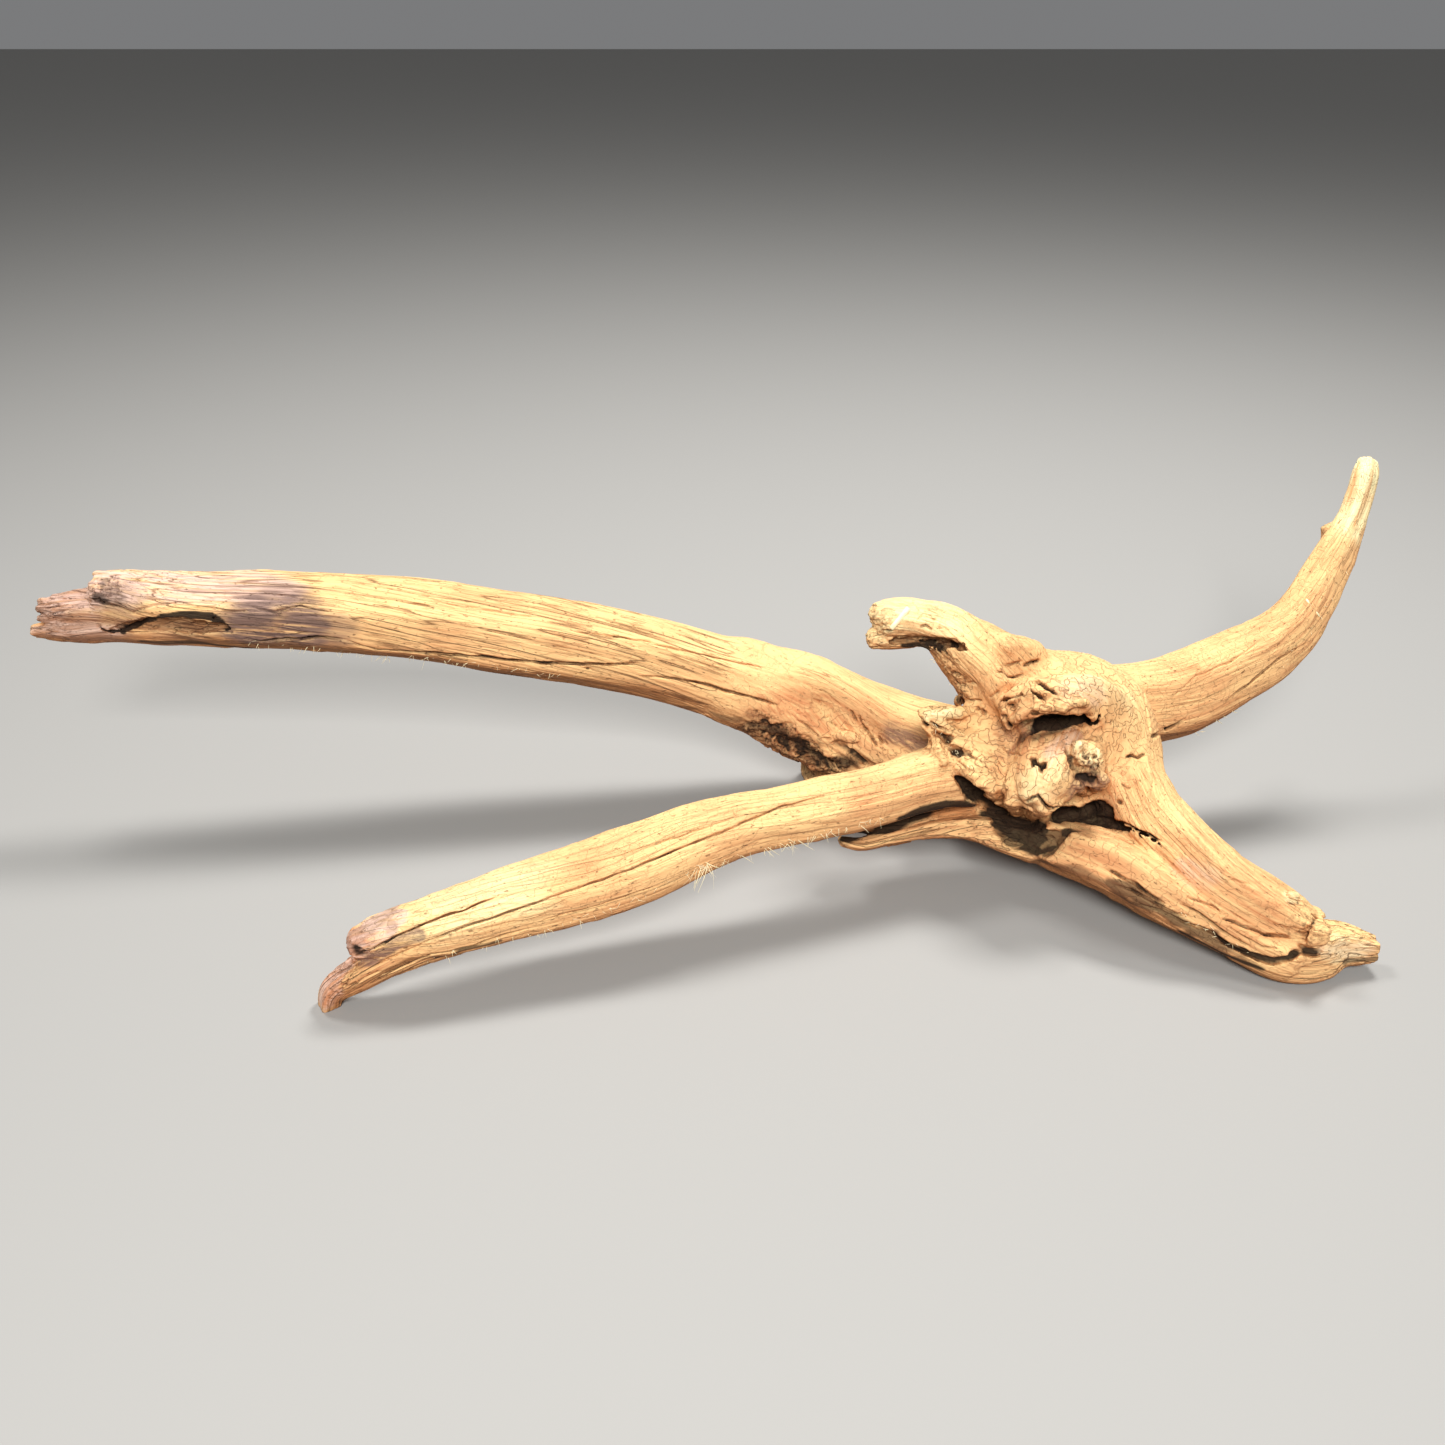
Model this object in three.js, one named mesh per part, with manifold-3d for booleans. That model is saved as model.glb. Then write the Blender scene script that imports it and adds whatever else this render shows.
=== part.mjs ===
// Aquarium driftwood: a knotty root crown with a long branch, a front branch, a right leg, a horn and a hook.
// It lies on three worn spots: the heel root, the tip of the front branch and the end of the right leg.
// Millimetres, +Z up. X runs along the long branch, and -Y is the side with the snout.
// The origin is on the ground, under the middle of the whole piece.
import * as THREE from "three";
import { mergeVertices } from "three/addons/utils/BufferGeometryUtils.js";
import Module from "manifold-3d";

const wasm = await Module();
wasm.setup();

// Driving dimensions. A strand is one run of wood fibres. Its stations are [x, y, z, half height], from its
// tip to its root, and flatness is its half depth over its half height. Each ridge is [how many round the
// strand, depth as a share of the half height, turns along the strand, phase].
const GAP = 0.3;
const WOOD = { tan: 0xd3a066, pale: 0xdcb176, weathered: 0xa98a70 };
const STRANDS = {
  longBranch: {
    stations: [
      [-284, 42, 121, 9],
      [-275, 43, 119.5, 10.5],
      [-262, 45, 115, 13],
      [-239, 46, 110.5, 15.8],
      [-195, 51, 107, 18],
      [-136, 57, 99, 19.5],
      [-103, 60, 92, 20],
      [-61, 62, 84, 20],
      [-27, 64, 75, 19],
      [-2, 65, 67, 19],
      [21, 65, 59, 20],
      [48, 62, 49, 22],
    ],
    flatness: 0.95,
    ridges: [[3, 0.06, 0.6, 0.4], [7, 0.035, -0.5, 1.1]],
    around: 22,
    along: 28,
  },
  longProng: {
    stations: [
      [-309, 40, 113, 4.5],
      [-302, 41, 112.5, 7],
      [-293, 42, 112, 9],
      [-280, 43, 111.5, 10],
      [-257, 44, 107, 11],
      [-227, 47, 100, 10],
    ],
    flatness: 0.9,
    ridges: [[5, 0.12, 0.2, 0.3]],
    around: 12,
    along: 10,
  },
  heelKnot: {
    stations: [
      [0, 65, 66, 17],
      [12, 65, 62, 19],
      [34, 64, 54, 22],
      [56, 60, 45, 24],
      [83, 52, 40, 22],
      [111, 42, 38, 19],
      [141, 32, 38, 18],
    ],
    flatness: 0.9,
    ridges: [[3, 0.08, 0.7, 2.2], [6, 0.05, 0.9, 0.2]],
    around: 16,
    along: 13,
  },
  heelToe: {
    stations: [
      [68, 60, 46, 16],
      [60, 68, 28, 16],
      [57, 72, 11, 13],
      [56, 73, -5, 12],
    ],
    flatness: 1,
    ridges: [[4, 0.1, 0.3, 0.9]],
    around: 14,
    along: 8,
  },
  saddle: {
    stations: [
      [36, 64, 68, 8],
      [50, 60, 66, 10],
      [63, 56, 62, 10],
      [86, 48, 54, 11],
      [112, 40, 50, 11],
      [138, 30, 48, 12],
    ],
    flatness: 1.2,
    ridges: [[2, 0.08, 0.5, 0]],
    around: 12,
    along: 11,
  },
  frontBranch: {
    stations: [
      [-148, -98, 29, 5.5],
      [-143, -97, 29.5, 7],
      [-135, -95, 30.5, 9],
      [-112, -88, 31, 13],
      [-82, -76, 34, 15],
      [-61, -69, 36, 16],
      [-32, -59, 41, 16.5],
      [-7, -49, 47, 15],
      [11, -43, 50, 13.5],
      [28, -37, 50, 12.5],
      [46, -30, 50, 13],
      [73, -20, 51, 13],
      [94, -11, 53, 13.5],
      [113, -3, 52, 15],
      [138, 6, 48, 17],
    ],
    flatness: 0.95,
    ridges: [[3, 0.06, 0.3, 1.3], [7, 0.035, 0.2, 0.5]],
    around: 16,
    along: 26,
  },
  frontProng: {
    stations: [
      [-161, -100, -3, 4],
      [-156.5, -100.5, 8, 5.2],
      [-147, -99, 14.5, 6.6],
      [-136, -96, 19.5, 7.2],
      [-121, -92, 25, 8.2],
      [-104, -86, 28.5, 9],
    ],
    flatness: 1.1,
    ridges: [[4, 0.1, 0.2, 0]],
    around: 12,
    along: 9,
  },
  legOver: {
    stations: [
      [253, -76, 20.5, 7],
      [246, -75, 22, 10.5],
      [231, -68, 26.5, 14],
      [215, -58, 32, 16],
      [202, -44, 37, 17],
      [191, -24, 40, 19],
      [182, -4, 47, 21],
      [173, 12, 58, 23],
    ],
    flatness: 1,
    ridges: [[3, 0.06, 0.4, 0.2], [7, 0.04, 0.6, 0.8]],
    around: 16,
    along: 15,
  },
  legUnder: {
    stations: [
      [246, -82, 9, 8],
      [236, -79, 11, 9.5],
      [212, -66, 17, 11],
      [190, -54, 25, 13],
      [171, -41, 30, 13],
      [150, -27, 30, 11],
      [130, -10, 31, 9],
    ],
    flatness: 1.3,
    ridges: [[5, 0.08, 0.5, 0.6]],
    around: 12,
    along: 13,
  },
  legSole: {
    stations: [
      [280, -76, 9.6, 5],
      [274, -76, 10.5, 6.6],
      [265, -76, 11.8, 8.8],
      [254, -78, 11, 12.6],
      [240, -79, 11.5, 13],
      [222, -73, 16, 11],
    ],
    flatness: 0.85,
    ridges: [[4, 0.1, 0.1, 0.6]],
    around: 12,
    along: 8,
  },
  horn: {
    stations: [
      [312.5, 103, 163, 4.2],
      [311, 99, 158, 6],
      [309, 95, 149, 6.6],
      [305.5, 90, 139, 7.2],
      [299.5, 83, 127, 9.6],
      [292, 76, 114, 11.2],
      [283.5, 68, 101, 12.4],
      [275, 63, 90, 14.5],
      [263, 58, 82, 16.5],
      [247, 52, 76, 17.5],
      [224, 45, 67, 19.5],
      [203, 38, 65, 19],
      [180, 32, 66, 19],
      [160, 26, 64, 17],
    ],
    flatness: 0.75,
    ridges: [[2, 0.07, 0.2, 0.9], [5, 0.05, 0.4, 0.3]],
    around: 16,
    along: 24,
  },
  hook: {
    stations: [
      [74, 28, 112, 9.6],
      [84, 28, 113, 10.3],
      [94, 27, 112.3, 10.2],
      [103, 25, 110, 11.5],
      [112, 22, 103.5, 14],
      [122, 20, 96.5, 16],
      [136, 18, 84, 20],
      [150, 16, 74, 22],
    ],
    flatness: 1.05,
    ridges: [[3, 0.08, 0.4, 0.5], [5, 0.05, 0.3, 1]],
    around: 14,
    along: 11,
  },
  core: {
    stations: [
      [136, 24, 80, 16],
      [152, 19, 76, 25],
      [167, 15, 68, 29],
      [177, 9, 57, 26],
      [182, 1, 42, 19],
    ],
    flatness: 1,
    ridges: [[3, 0.05, 0.3, 0], [5, 0.03, 0.3, 1]],
    around: 16,
    along: 9,
  },
  brow: {
    stations: [
      [130, -5, 82, 4],
      [132, -11, 91, 6.5],
      [138, -13, 96, 8],
      [152, -12, 97, 8.5],
      [164, -7, 93, 9],
      [173, -1, 82, 10],
      [178, 6, 68, 10],
    ],
    flatness: 1,
    ridges: [[3, 0.1, 0.6, 0.7]],
    around: 12,
    along: 11,
  },
  snout: {
    stations: [
      [138, -38, 57, 7],
      [140, -34, 61, 13],
      [144, -26, 66, 16.5],
      [149, -10, 67, 19],
      [155, 8, 66, 20],
    ],
    flatness: 0.85,
    ridges: [[2, 0.14, 0, 0.2], [5, 0.05, 0, 0.5]],
    around: 14,
    along: 9,
  },
  knob: {
    stations: [
      [160, -35, 68, 4.5],
      [160, -31, 70, 7],
      [162, -20, 70, 8],
      [166, -6, 68, 9],
    ],
    flatness: 1,
    ridges: [[3, 0.08, 0, 0.2]],
    around: 10,
    along: 6,
  },
  beak: {
    stations: [
      [93, 1, 79, 3],
      [99, 2, 76, 6],
      [110, 5, 68, 11],
      [126, 9, 64, 16],
      [144, 14, 66, 18],
    ],
    flatness: 0.9,
    ridges: [[4, 0.1, 0.4, 0.2]],
    around: 12,
    along: 9,
  },
  cheek: {
    stations: [
      [104, 2, 68, 7],
      [113, -3, 61, 11],
      [122, -11, 57, 12],
      [130, -20, 55, 10],
      [137, -26, 55, 8],
    ],
    flatness: 0.9,
    ridges: [[3, 0.1, 0.2, 0.2]],
    around: 12,
    along: 8,
  },
  flap: {
    stations: [
      [56, -22, 28, 1.8],
      [66, -21, 25.5, 2.4],
      [79, -17, 26, 3],
      [92, -15, 28.5, 4.2],
      [104, -13, 30, 5.8],
      [118, -12, 30.5, 7.5],
      [134, -15, 30, 10],
      [152, -20, 28, 11],
    ],
    flatness: 1.5,
    ridges: [[2, 0.25, 0.2, 0.9], [5, 0.1, 0.9, 0.4]],
    around: 9,
    along: 11,
  },
  longFinger: {
    stations: [
      [-314, 38, 103.5, 2.3],
      [-305, 39, 103.5, 4],
      [-294, 40, 103.5, 5.6],
      [-276, 42, 104, 7],
      [-255, 44, 103, 8.5],
      [-225, 47, 99, 9],
    ],
    flatness: 1.2,
    ridges: [[3, 0.1, 0.2, 0.3]],
    around: 10,
    along: 10,
  },
  hookTip: {
    stations: [
      [71, 27, 117.5, 3.8],
      [78, 27, 117, 6.2],
      [92, 27, 113.5, 8.5],
    ],
    flatness: 1.1,
    ridges: [],
    around: 10,
    along: 5,
  },
  hookLip: {
    stations: [
      [69, 25, 106, 4.5],
      [76, 25, 107, 6],
      [92, 26, 110, 8],
    ],
    flatness: 1.1,
    ridges: [],
    around: 10,
    along: 5,
  },
  hookWeb: {
    stations: [
      [100, 22, 106, 4],
      [106, 20, 100.5, 6.5],
      [112.5, 18, 92.5, 7.5],
      [118, 14, 84, 8],
      [124, 11, 76, 8],
    ],
    flatness: 0.9,
    ridges: [[3, 0.12, 0.3, 0.4]],
    around: 9,
    along: 7,
  },
  belly: {
    stations: [
      [100, 16, 38, 8],
      [116, 14, 36, 14],
      [136, 8, 34, 18],
      [160, 0, 34, 20],
      [182, -10, 33, 17],
    ],
    flatness: 1,
    ridges: [[3, 0.06, 0.3, 0]],
    around: 12,
    along: 8,
  },
  hornSpur: {
    stations: [
      [295, 90, 135.5, 4.6],
      [297, 88, 131, 6],
      [299, 84, 122, 7.5],
      [299, 79, 112, 8],
    ],
    flatness: 1,
    ridges: [],
    around: 8,
    along: 6,
  },
};

// Hollows are cut with the same kind of shape, lying in the surface.
const HOLLOWS = {
  slot: {
    stations: [
      [-277, 33, 106, 1.2],
      [-270, 34, 107.5, 2.4],
      [-259, 33, 109.5, 3.8],
      [-242, 31, 109.5, 4.4],
      [-228, 32, 109, 3.8],
      [-219, 33, 107, 1.5],
    ],
    flatness: 1.1,
    ridges: [],
    around: 10,
    along: 8,
  },
  browHollow: {
    stations: [
      [127, -10, 82, 2.5],
      [132, -14, 83, 4.5],
      [141, -14, 86, 5.5],
      [152, -13, 87, 5.5],
      [163, -11, 86, 3.5],
    ],
    flatness: 1.8,
    ridges: [],
    around: 12,
    along: 8,
  },
  legCrack: {
    stations: [
      [152, -16, 39, 3],
      [161, -19, 40, 4],
      [171, -26, 41.5, 3.4],
      [181, -36, 43.5, 2.2],
      [190, -48, 45, 0.8],
    ],
    flatness: 2.2,
    ridges: [],
    around: 10,
    along: 8,
  },
  cheekGap: {
    stations: [
      [103, -14, 58, 1.2],
      [108, -15, 56, 3.4],
      [114.5, -17, 52.5, 5.6],
      [121, -19, 49.5, 6.6],
      [127, -21, 45, 6.8],
      [134, -22, 41, 6],
      [146, -22, 38, 4.5],
    ],
    flatness: 2.4,
    ridges: [],
    around: 9,
    along: 8,
  },
  hookGroove: {
    stations: [
      [79, 20, 107.5, 1.2],
      [88, 18, 109, 2.2],
      [96, 15, 109.5, 2.8],
      [104, 12, 110, 2.6],
      [111, 9, 109, 1.2],
    ],
    flatness: 2.2,
    ridges: [],
    around: 10,
    along: 8,
  },
};

// Where each fork is split: a point on the fork and the way that the limb leaves it.
const FORKS = {
  longBranch: { at: [16, 65, 61], out: [-1, 0.05, 0.35] },
  heelRoot: { at: [100, 45, 42], out: [-0.9, 0.4, 0.05] },
  frontBranch: { at: [92, -12, 52], out: [-0.93, -0.36, -0.03] },
  rightLeg: { at: [186, -26, 38], out: [0.6, -0.75, -0.25] },
  horn: { at: [206, 39, 65], out: [0.95, 0.28, 0.02] },
  hook: { at: [121, 20, 97], out: [-0.72, 0.13, 0.68] },
};

// A viewer who stands in front sees each strand's half height, so its half depth is measured this way.
const TOWARDS_VIEWER = new THREE.Vector3(0, -0.866, 0.5);
const FLOOR_BLOCK = 900;
// Half heights are smoothed as if stations were this far apart, and a strand rounds off in its end rows.
const STATION_SPACING = 20;
const END_ROUNDING = 0.75;

// Ridges run along the strand and wind slowly round it.
function ridgeFactor(ridges, angle, along) {
  const wave = ([count, depth, turns, phase]) =>
    depth * Math.cos(count * angle + 2 * Math.PI * turns * along + phase);
  return ridges.reduce((sum, ridge) => sum + wave(ridge), 1);
}

// A sphere whose poles are carried to the two ends of a curve, so that it is one closed, tapering strand.
function strandGeometry({ stations, flatness, ridges, around, along }, swell = 0) {
  const places = stations.map(([x, y, z]) => new THREE.Vector3(x, y, z));
  const halves = stations.map(([, , , half], i) => new THREE.Vector3(i * STATION_SPACING, half, 0));
  const line = new THREE.CatmullRomCurve3(places, false, "centripetal");
  const sizes = new THREE.CatmullRomCurve3(halves);
  const sphere = new THREE.SphereGeometry(1, around, along);
  const { position } = sphere.attributes;
  const [tangent, depthWay, heightWay] = [new THREE.Vector3(), new THREE.Vector3(), new THREE.Vector3()];
  for (let i = 0; i < position.count; i++) {
    const row = Math.floor(i / (around + 1)) / along;
    const angle = (2 * Math.PI * (i % (around + 1))) / around;
    const share = 0.5 * row + 0.25 * (1 - Math.cos(Math.PI * row));
    const t = line.getUtoTmapping(share);
    line.getTangent(t, tangent);
    const alongView = TOWARDS_VIEWER.dot(tangent);
    depthWay.copy(TOWARDS_VIEWER).addScaledVector(tangent, -alongView).normalize();
    heightWay.crossVectors(depthWay, tangent);
    const rows = row * along;
    const closing = Math.min(1, END_ROUNDING * rows, END_ROUNDING * (along - rows));
    const size = (sizes.getPoint(t).y * ridgeFactor(ridges, angle, share) + swell) * closing;
    const point = line
      .getPoint(t)
      .addScaledVector(depthWay, size * flatness * Math.cos(angle))
      .addScaledVector(heightWay, size * Math.sin(angle));
    position.setXYZ(i, point.x, point.y, point.z);
  }
  return sphere;
}

function solidOf(geometry) {
  geometry.deleteAttribute("normal");
  geometry.deleteAttribute("uv");
  const merged = mergeVertices(geometry, 1e-3);
  const vertProperties = merged.attributes.position.array;
  const triVerts = new Uint32Array(merged.index.array);
  return new wasm.Manifold(new wasm.Mesh({ numProp: 3, vertProperties, triVerts }));
}

function geometryOf(solid) {
  const { vertProperties, triVerts } = solid.getMesh();
  const geometry = new THREE.BufferGeometry();
  geometry.setAttribute("position", new THREE.BufferAttribute(vertProperties, 3));
  geometry.setIndex(new THREE.BufferAttribute(triVerts, 1));
  geometry.computeVertexNormals();
  return geometry;
}

const join = (solids) => solids.reduce((sum, next) => sum.add(next));
const strands = (names, swell) => join(names.map((name) => solidOf(strandGeometry(STRANDS[name], swell))));

// A large block on the crown's side of a fork, with its face moved out along the limb by a shift.
function blockBehind({ at, out }, shift) {
  const way = new THREE.Vector3(...out).normalize();
  const block = new THREE.BoxGeometry(FLOOR_BLOCK, FLOOR_BLOCK, FLOOR_BLOCK);
  block.applyQuaternion(new THREE.Quaternion().setFromUnitVectors(new THREE.Vector3(0, 0, 1), way));
  const centre = new THREE.Vector3(...at).addScaledVector(way, shift - FLOOR_BLOCK / 2);
  return solidOf(block.translate(centre.x, centre.y, centre.z));
}

const limbSide = (solid, fork, shift = GAP / 2) => solid.subtract(blockBehind(fork, shift));
const rootSide = (solid, fork) => solid.intersect(blockBehind(fork, -GAP / 2));

const ground = solidOf(
  new THREE.BoxGeometry(FLOOR_BLOCK, FLOOR_BLOCK, FLOOR_BLOCK).translate(0, 0, -FLOOR_BLOCK / 2),
);
const hollows = join(Object.values(HOLLOWS).map((hollow) => solidOf(strandGeometry(hollow))));

// The heel root lies between two forks, so it is cut on both.
function heelRoot(swell = 0, shift = GAP / 2) {
  const whole = strands(["heelKnot", "heelToe", "saddle"], swell);
  return rootSide(limbSide(whole, FORKS.heelRoot, shift), FORKS.longBranch);
}

const limb = (names, fork) => (swell, shift) => limbSide(strands(names, swell), fork, shift);

// Each limb, at its true size, or swollen to leave a gap when it is taken out of the crown.
const LIMBS = {
  long_branch: limb(["longBranch", "longProng", "longFinger"], FORKS.longBranch),
  heel_root: heelRoot,
  front_branch: limb(["frontBranch", "frontProng"], FORKS.frontBranch),
  right_leg: limb(["legOver", "legUnder", "legSole"], FORKS.rightLeg),
  horn: limb(["horn", "hornSpur"], FORKS.horn),
  hook: limb(["hook", "hookTip", "hookLip", "hookWeb"], FORKS.hook),
};

function crown() {
  const roots = [
    rootSide(strands(["heelKnot", "saddle"]), FORKS.heelRoot),
    rootSide(strands(["frontBranch"]), FORKS.frontBranch),
    rootSide(strands(["legOver", "legUnder"]), FORKS.rightLeg),
    rootSide(strands(["horn"]), FORKS.horn),
    rootSide(strands(["hook", "hookWeb"]), FORKS.hook),
  ];
  const lobes = ["core", "brow", "snout", "knob", "beak", "cheek", "belly", "flap"];
  const whole = join([strands(lobes), ...roots]);
  const swollen = Object.values(LIMBS).map((cutLimb) => cutLimb(GAP, -GAP / 3));
  return swollen.reduce((left, space) => left.subtract(space), whole);
}

// Loose crumbs that a cut may leave are dropped: only the largest body is the piece.
function piece(name, solid, colour) {
  const bodies = solid.subtract(hollows).subtract(ground).decompose();
  const largest = bodies.reduce((best, body) => (body.volume() > best.volume() ? body : best));
  const material = new THREE.MeshStandardMaterial({ color: colour, roughness: 0.9, metalness: 0 });
  const mesh = new THREE.Mesh(geometryOf(largest), material);
  mesh.name = name;
  return mesh;
}

const driftwood = new THREE.Group();
driftwood.add(piece("crown", crown(), WOOD.tan));
driftwood.add(piece("long_branch", LIMBS.long_branch(), WOOD.pale));
driftwood.add(piece("heel_root", LIMBS.heel_root(), WOOD.weathered));
driftwood.add(piece("front_branch", LIMBS.front_branch(), WOOD.pale));
driftwood.add(piece("right_leg", LIMBS.right_leg(), WOOD.tan));
driftwood.add(piece("horn", LIMBS.horn(), WOOD.tan));
driftwood.add(piece("hook", LIMBS.hook(), WOOD.pale));

export default driftwood;
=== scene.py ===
"""Aquarium driftwood: a weathered root with a knotty crown and six limbs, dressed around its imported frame.

Every length here is in millimetres until a mesh is made. The wood is the zero surface of one field: the
distance to the nearest strand of fibres, smoothly joined, less the relief of its grain, its hollows, cracks
and pits.
"""
import math
from concurrent.futures import ThreadPoolExecutor
from copy import copy
from collections import namedtuple
from functools import lru_cache

import bpy
import numpy as np
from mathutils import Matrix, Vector


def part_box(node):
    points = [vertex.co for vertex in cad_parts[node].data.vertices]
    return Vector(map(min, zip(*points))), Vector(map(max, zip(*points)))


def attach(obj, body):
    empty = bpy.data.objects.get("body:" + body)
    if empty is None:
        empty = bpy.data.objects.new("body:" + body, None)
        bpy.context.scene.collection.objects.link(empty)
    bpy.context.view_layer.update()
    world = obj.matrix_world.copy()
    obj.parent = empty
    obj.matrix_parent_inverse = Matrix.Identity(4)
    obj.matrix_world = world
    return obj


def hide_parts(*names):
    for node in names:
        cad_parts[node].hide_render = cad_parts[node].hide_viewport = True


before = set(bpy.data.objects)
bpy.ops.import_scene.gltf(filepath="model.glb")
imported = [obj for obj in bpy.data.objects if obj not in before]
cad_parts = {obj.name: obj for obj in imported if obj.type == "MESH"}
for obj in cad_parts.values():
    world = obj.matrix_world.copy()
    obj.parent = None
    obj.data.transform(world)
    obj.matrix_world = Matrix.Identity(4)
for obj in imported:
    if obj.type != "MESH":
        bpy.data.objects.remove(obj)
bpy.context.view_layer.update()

bl_info = {
    "name": "Aquarium Driftwood",
    "version": (1, 0, 0),
    "blender": (4, 5, 0),
    "location": "View3D > Sidebar > Driftwood",
    "description": "Weathered branchy root for an aquarium, with grain, cracks, pits and loose fibres",
    "category": "Object",
}

MM = 0.001
# The height that the piece rests at, in mm.
GROUND = 0.0

# The photograph's camera: its place in the part's frame, its tilt down, and its square image.
CAMERA_PLACE = np.array([3.0, -560.0, 400.0])
CAMERA_TILT = math.radians(30)
CAMERA_LENS = 36.0
CAMERA_SENSOR = 36.0
IMAGE_SIDE = 1445
TOWARDS_VIEWER = np.array([0.0, -math.cos(CAMERA_TILT), math.sin(CAMERA_TILT)])

# Relief: how wide each kind is across the fibres and along them, and how high or deep it is.
LUMP = {"across": 24.0, "along": 60.0, "height": 1.0}
SWELL = {"across": 9.0, "along": 60.0, "height": 0.5}
GROOVE = {"across": 5.0, "along": 110.0, "height": 0.62}
FLUTE = {"across": 2.2, "along": 50.0, "height": 0.3}
FIBRE = {"across": 1.1, "along": 24.0, "height": 0.1}
TEAR = {"across": 3.4, "along": 17.0, "height": 0.3}
KNOT = {"across": 10.0, "along": 17.0, "height": 1.5}
WANDER = {"across": 30.0, "along": 45.0}
TORN = {"across": 3.2, "along": 7.0, "height": 1.1}
CRUMB = {"across": 6.0, "height": 1.7}
FLAKE = {"across": 2.6, "height": 0.9}

# Noise that doesn't change along the fibres, and how far apart the grains of two seeds lie in the noise.
ENDLESS = 1e6
SEED_SHIFT = (137.0, 59.0, 211.0)
# Broken fibres at a strand's end stand out by noise of these widths in mm.
SPLINTERED = (3.2, 1.3)

# Painted shade on a hollow's walls reaches its full strength from this depth on, in mm.
WALL_SHADE_DEPTH = 3.0
# How far a crack or a pit reaches from its place, and how wide the noise is that bends it, in mm.
MARK_REACH = 9.0
MARK_WANDER = 7.0
CRACK_BEND = 0.5
PIT_BEND = 0.6
# A pit is longer along the fibres, by this share, and its edge is uneven by noise of this width.
PIT_STRETCH = 0.42
PIT_EDGE = 2.6
# The noise that makes a zone's edge ragged: a wide layer and a fine one, as lengths along X, Y and Z in mm.
ZONE_EDGE = np.array([26.0, 7.0, 7.0])
ZONE_EDGE_FINE = np.array([9.0, 3.0, 3.0])
# How far outside a point other wood is looked for, and from how near it darkens the point as painted shade,
# in mm.
OCCLUSION_OUT = 7.0
OCCLUSION_FADE = 6.0

# A pixel's ray starts this far from the camera, takes this many steps and stops this near the wood, in mm.
RAY_START = 420.0
RAY_STEPS = 70
RAY_NEAR = 0.05
# The field's slope is taken over this distance to each side.
SLOPE_STEP = 2.0

# Field: the curves' own step, how far strands reach out, and the largest value that it takes.
LINE_STEP = 1.6
REACH = 12.0
RELIEF_REACH = 6.0
FAR = 60.0
# Points are measured this many at a time, and each core takes this many, to keep memory small.
MOST_AT_ONCE = 50000
CHUNK = 24000
# Neighbouring pieces share this much wood past a fork, and dip under each other there, so no seam shows.
FORK_OVERLAP = 1.6
FORK_DIP = 0.3
# Each piece's surface is found on a lattice of its own. A limb's lattice follows a strand and is finer across
# the fibres than along them. Steps are in mm, and keep a piece under 200,000 triangles.
LATTICES = {
    "crown_face": {"node": "crown", "side": -1, "step": 0.76},
    "crown_back": {"node": "crown", "side": 1, "step": 0.9},
    "heel_root": {"step": 0.75},
    "long_branch": {"run": "longBranch", "across": 0.52, "along": 1.4},
    "front_branch": {"run": "frontBranch", "across": 0.45, "along": 1.2},
    "right_leg": {"run": "legOver", "across": 0.5, "along": 1.0},
    "horn": {"run": "horn", "across": 0.45, "along": 1.1},
    "hook": {"run": "hook", "across": 0.45, "along": 0.8},
}
# The crown is made as a fine front piece and a coarser back one, which meet at this Y.
CROWN_SPLIT = 10.0
# A coarse lattice with this span first finds where the surface is, with this slack, in mm.
COARSE_SPAN = 3.0
COARSE_SLACK = 1.6
LATTICE_MARGIN = 6.0
# A strand's curve goes on straight this far past its ends, so that its lattice holds the whole piece.
RUN_OVERHANG = 60.0
# The most that a net point slides onto the surface, as a share of the least step.
SLIDE_SHARE = 0.4

LIMB_SLOTS = {
    "heel_root": "wood_brown",
    "long_branch": "wood_pale",
    "front_branch": "wood_pale",
    "right_leg": "wood_tan",
    "horn": "wood_tan",
    "hook": "wood_pale",
}

# Soft lamps, each with its place and width in metres and its power in watts.
STUDIO_LIGHTS = (
    ("key_lamp", (0.42, 0.45, 1.2), 0.3, 15.5),
    ("second_lamp", (-0.5, 0.3, 1.2), 0.3, 7.5),
    ("front_lamp", (-0.02, -1.2, 1.05), 0.4, 27.5),
)
SKY_COLOUR = "f2f3f5"
SKY_STRENGTH = 0.22
FLOOR_COLOUR = "9b9995"
FLOOR_SIDE = 8.0

# How deep each kind of relief is, in mm.
Relief = namedtuple("Relief", "groove_depth flute_depth crumb_depth")


# Strands

def smooth_line(stations):
    """A smooth cubic curve through the stations, resampled so that its points are LINE_STEP apart.

    Each column of a station, its place and its half height, follows the same curve.
    """
    knots = np.array(stations, dtype=float)
    gaps = np.sqrt(np.linalg.norm(np.diff(knots[:, :3], axis=0), axis=1))
    at = np.concatenate([[0.0], np.cumsum(gaps)])
    slopes = np.gradient(knots, at, axis=0)
    fine = np.linspace(0.0, at[-1], 40 * len(knots))
    low = np.clip(np.searchsorted(at, fine, side="right") - 1, 0, len(knots) - 2)
    span = (at[low + 1] - at[low])[:, None]
    u = (fine - at[low])[:, None] / span
    start, end = knots[low], knots[low + 1]
    bend = (2 * u**3 - 3 * u**2 + 1) * start + (3 * u**2 - 2 * u**3) * end
    bend += ((u**3 - 2 * u**2 + u) * slopes[low] + (u**3 - u**2) * slopes[low + 1]) * span
    run = np.concatenate([[0.0], np.cumsum(np.linalg.norm(np.diff(bend[:, :3], axis=0), axis=1))])
    count = max(3, int(round(run[-1] / LINE_STEP)) + 1)
    even = np.linspace(0.0, run[-1], count)
    return np.stack([np.interp(even, run, bend[:, i]) for i in range(4)], axis=1)


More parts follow.
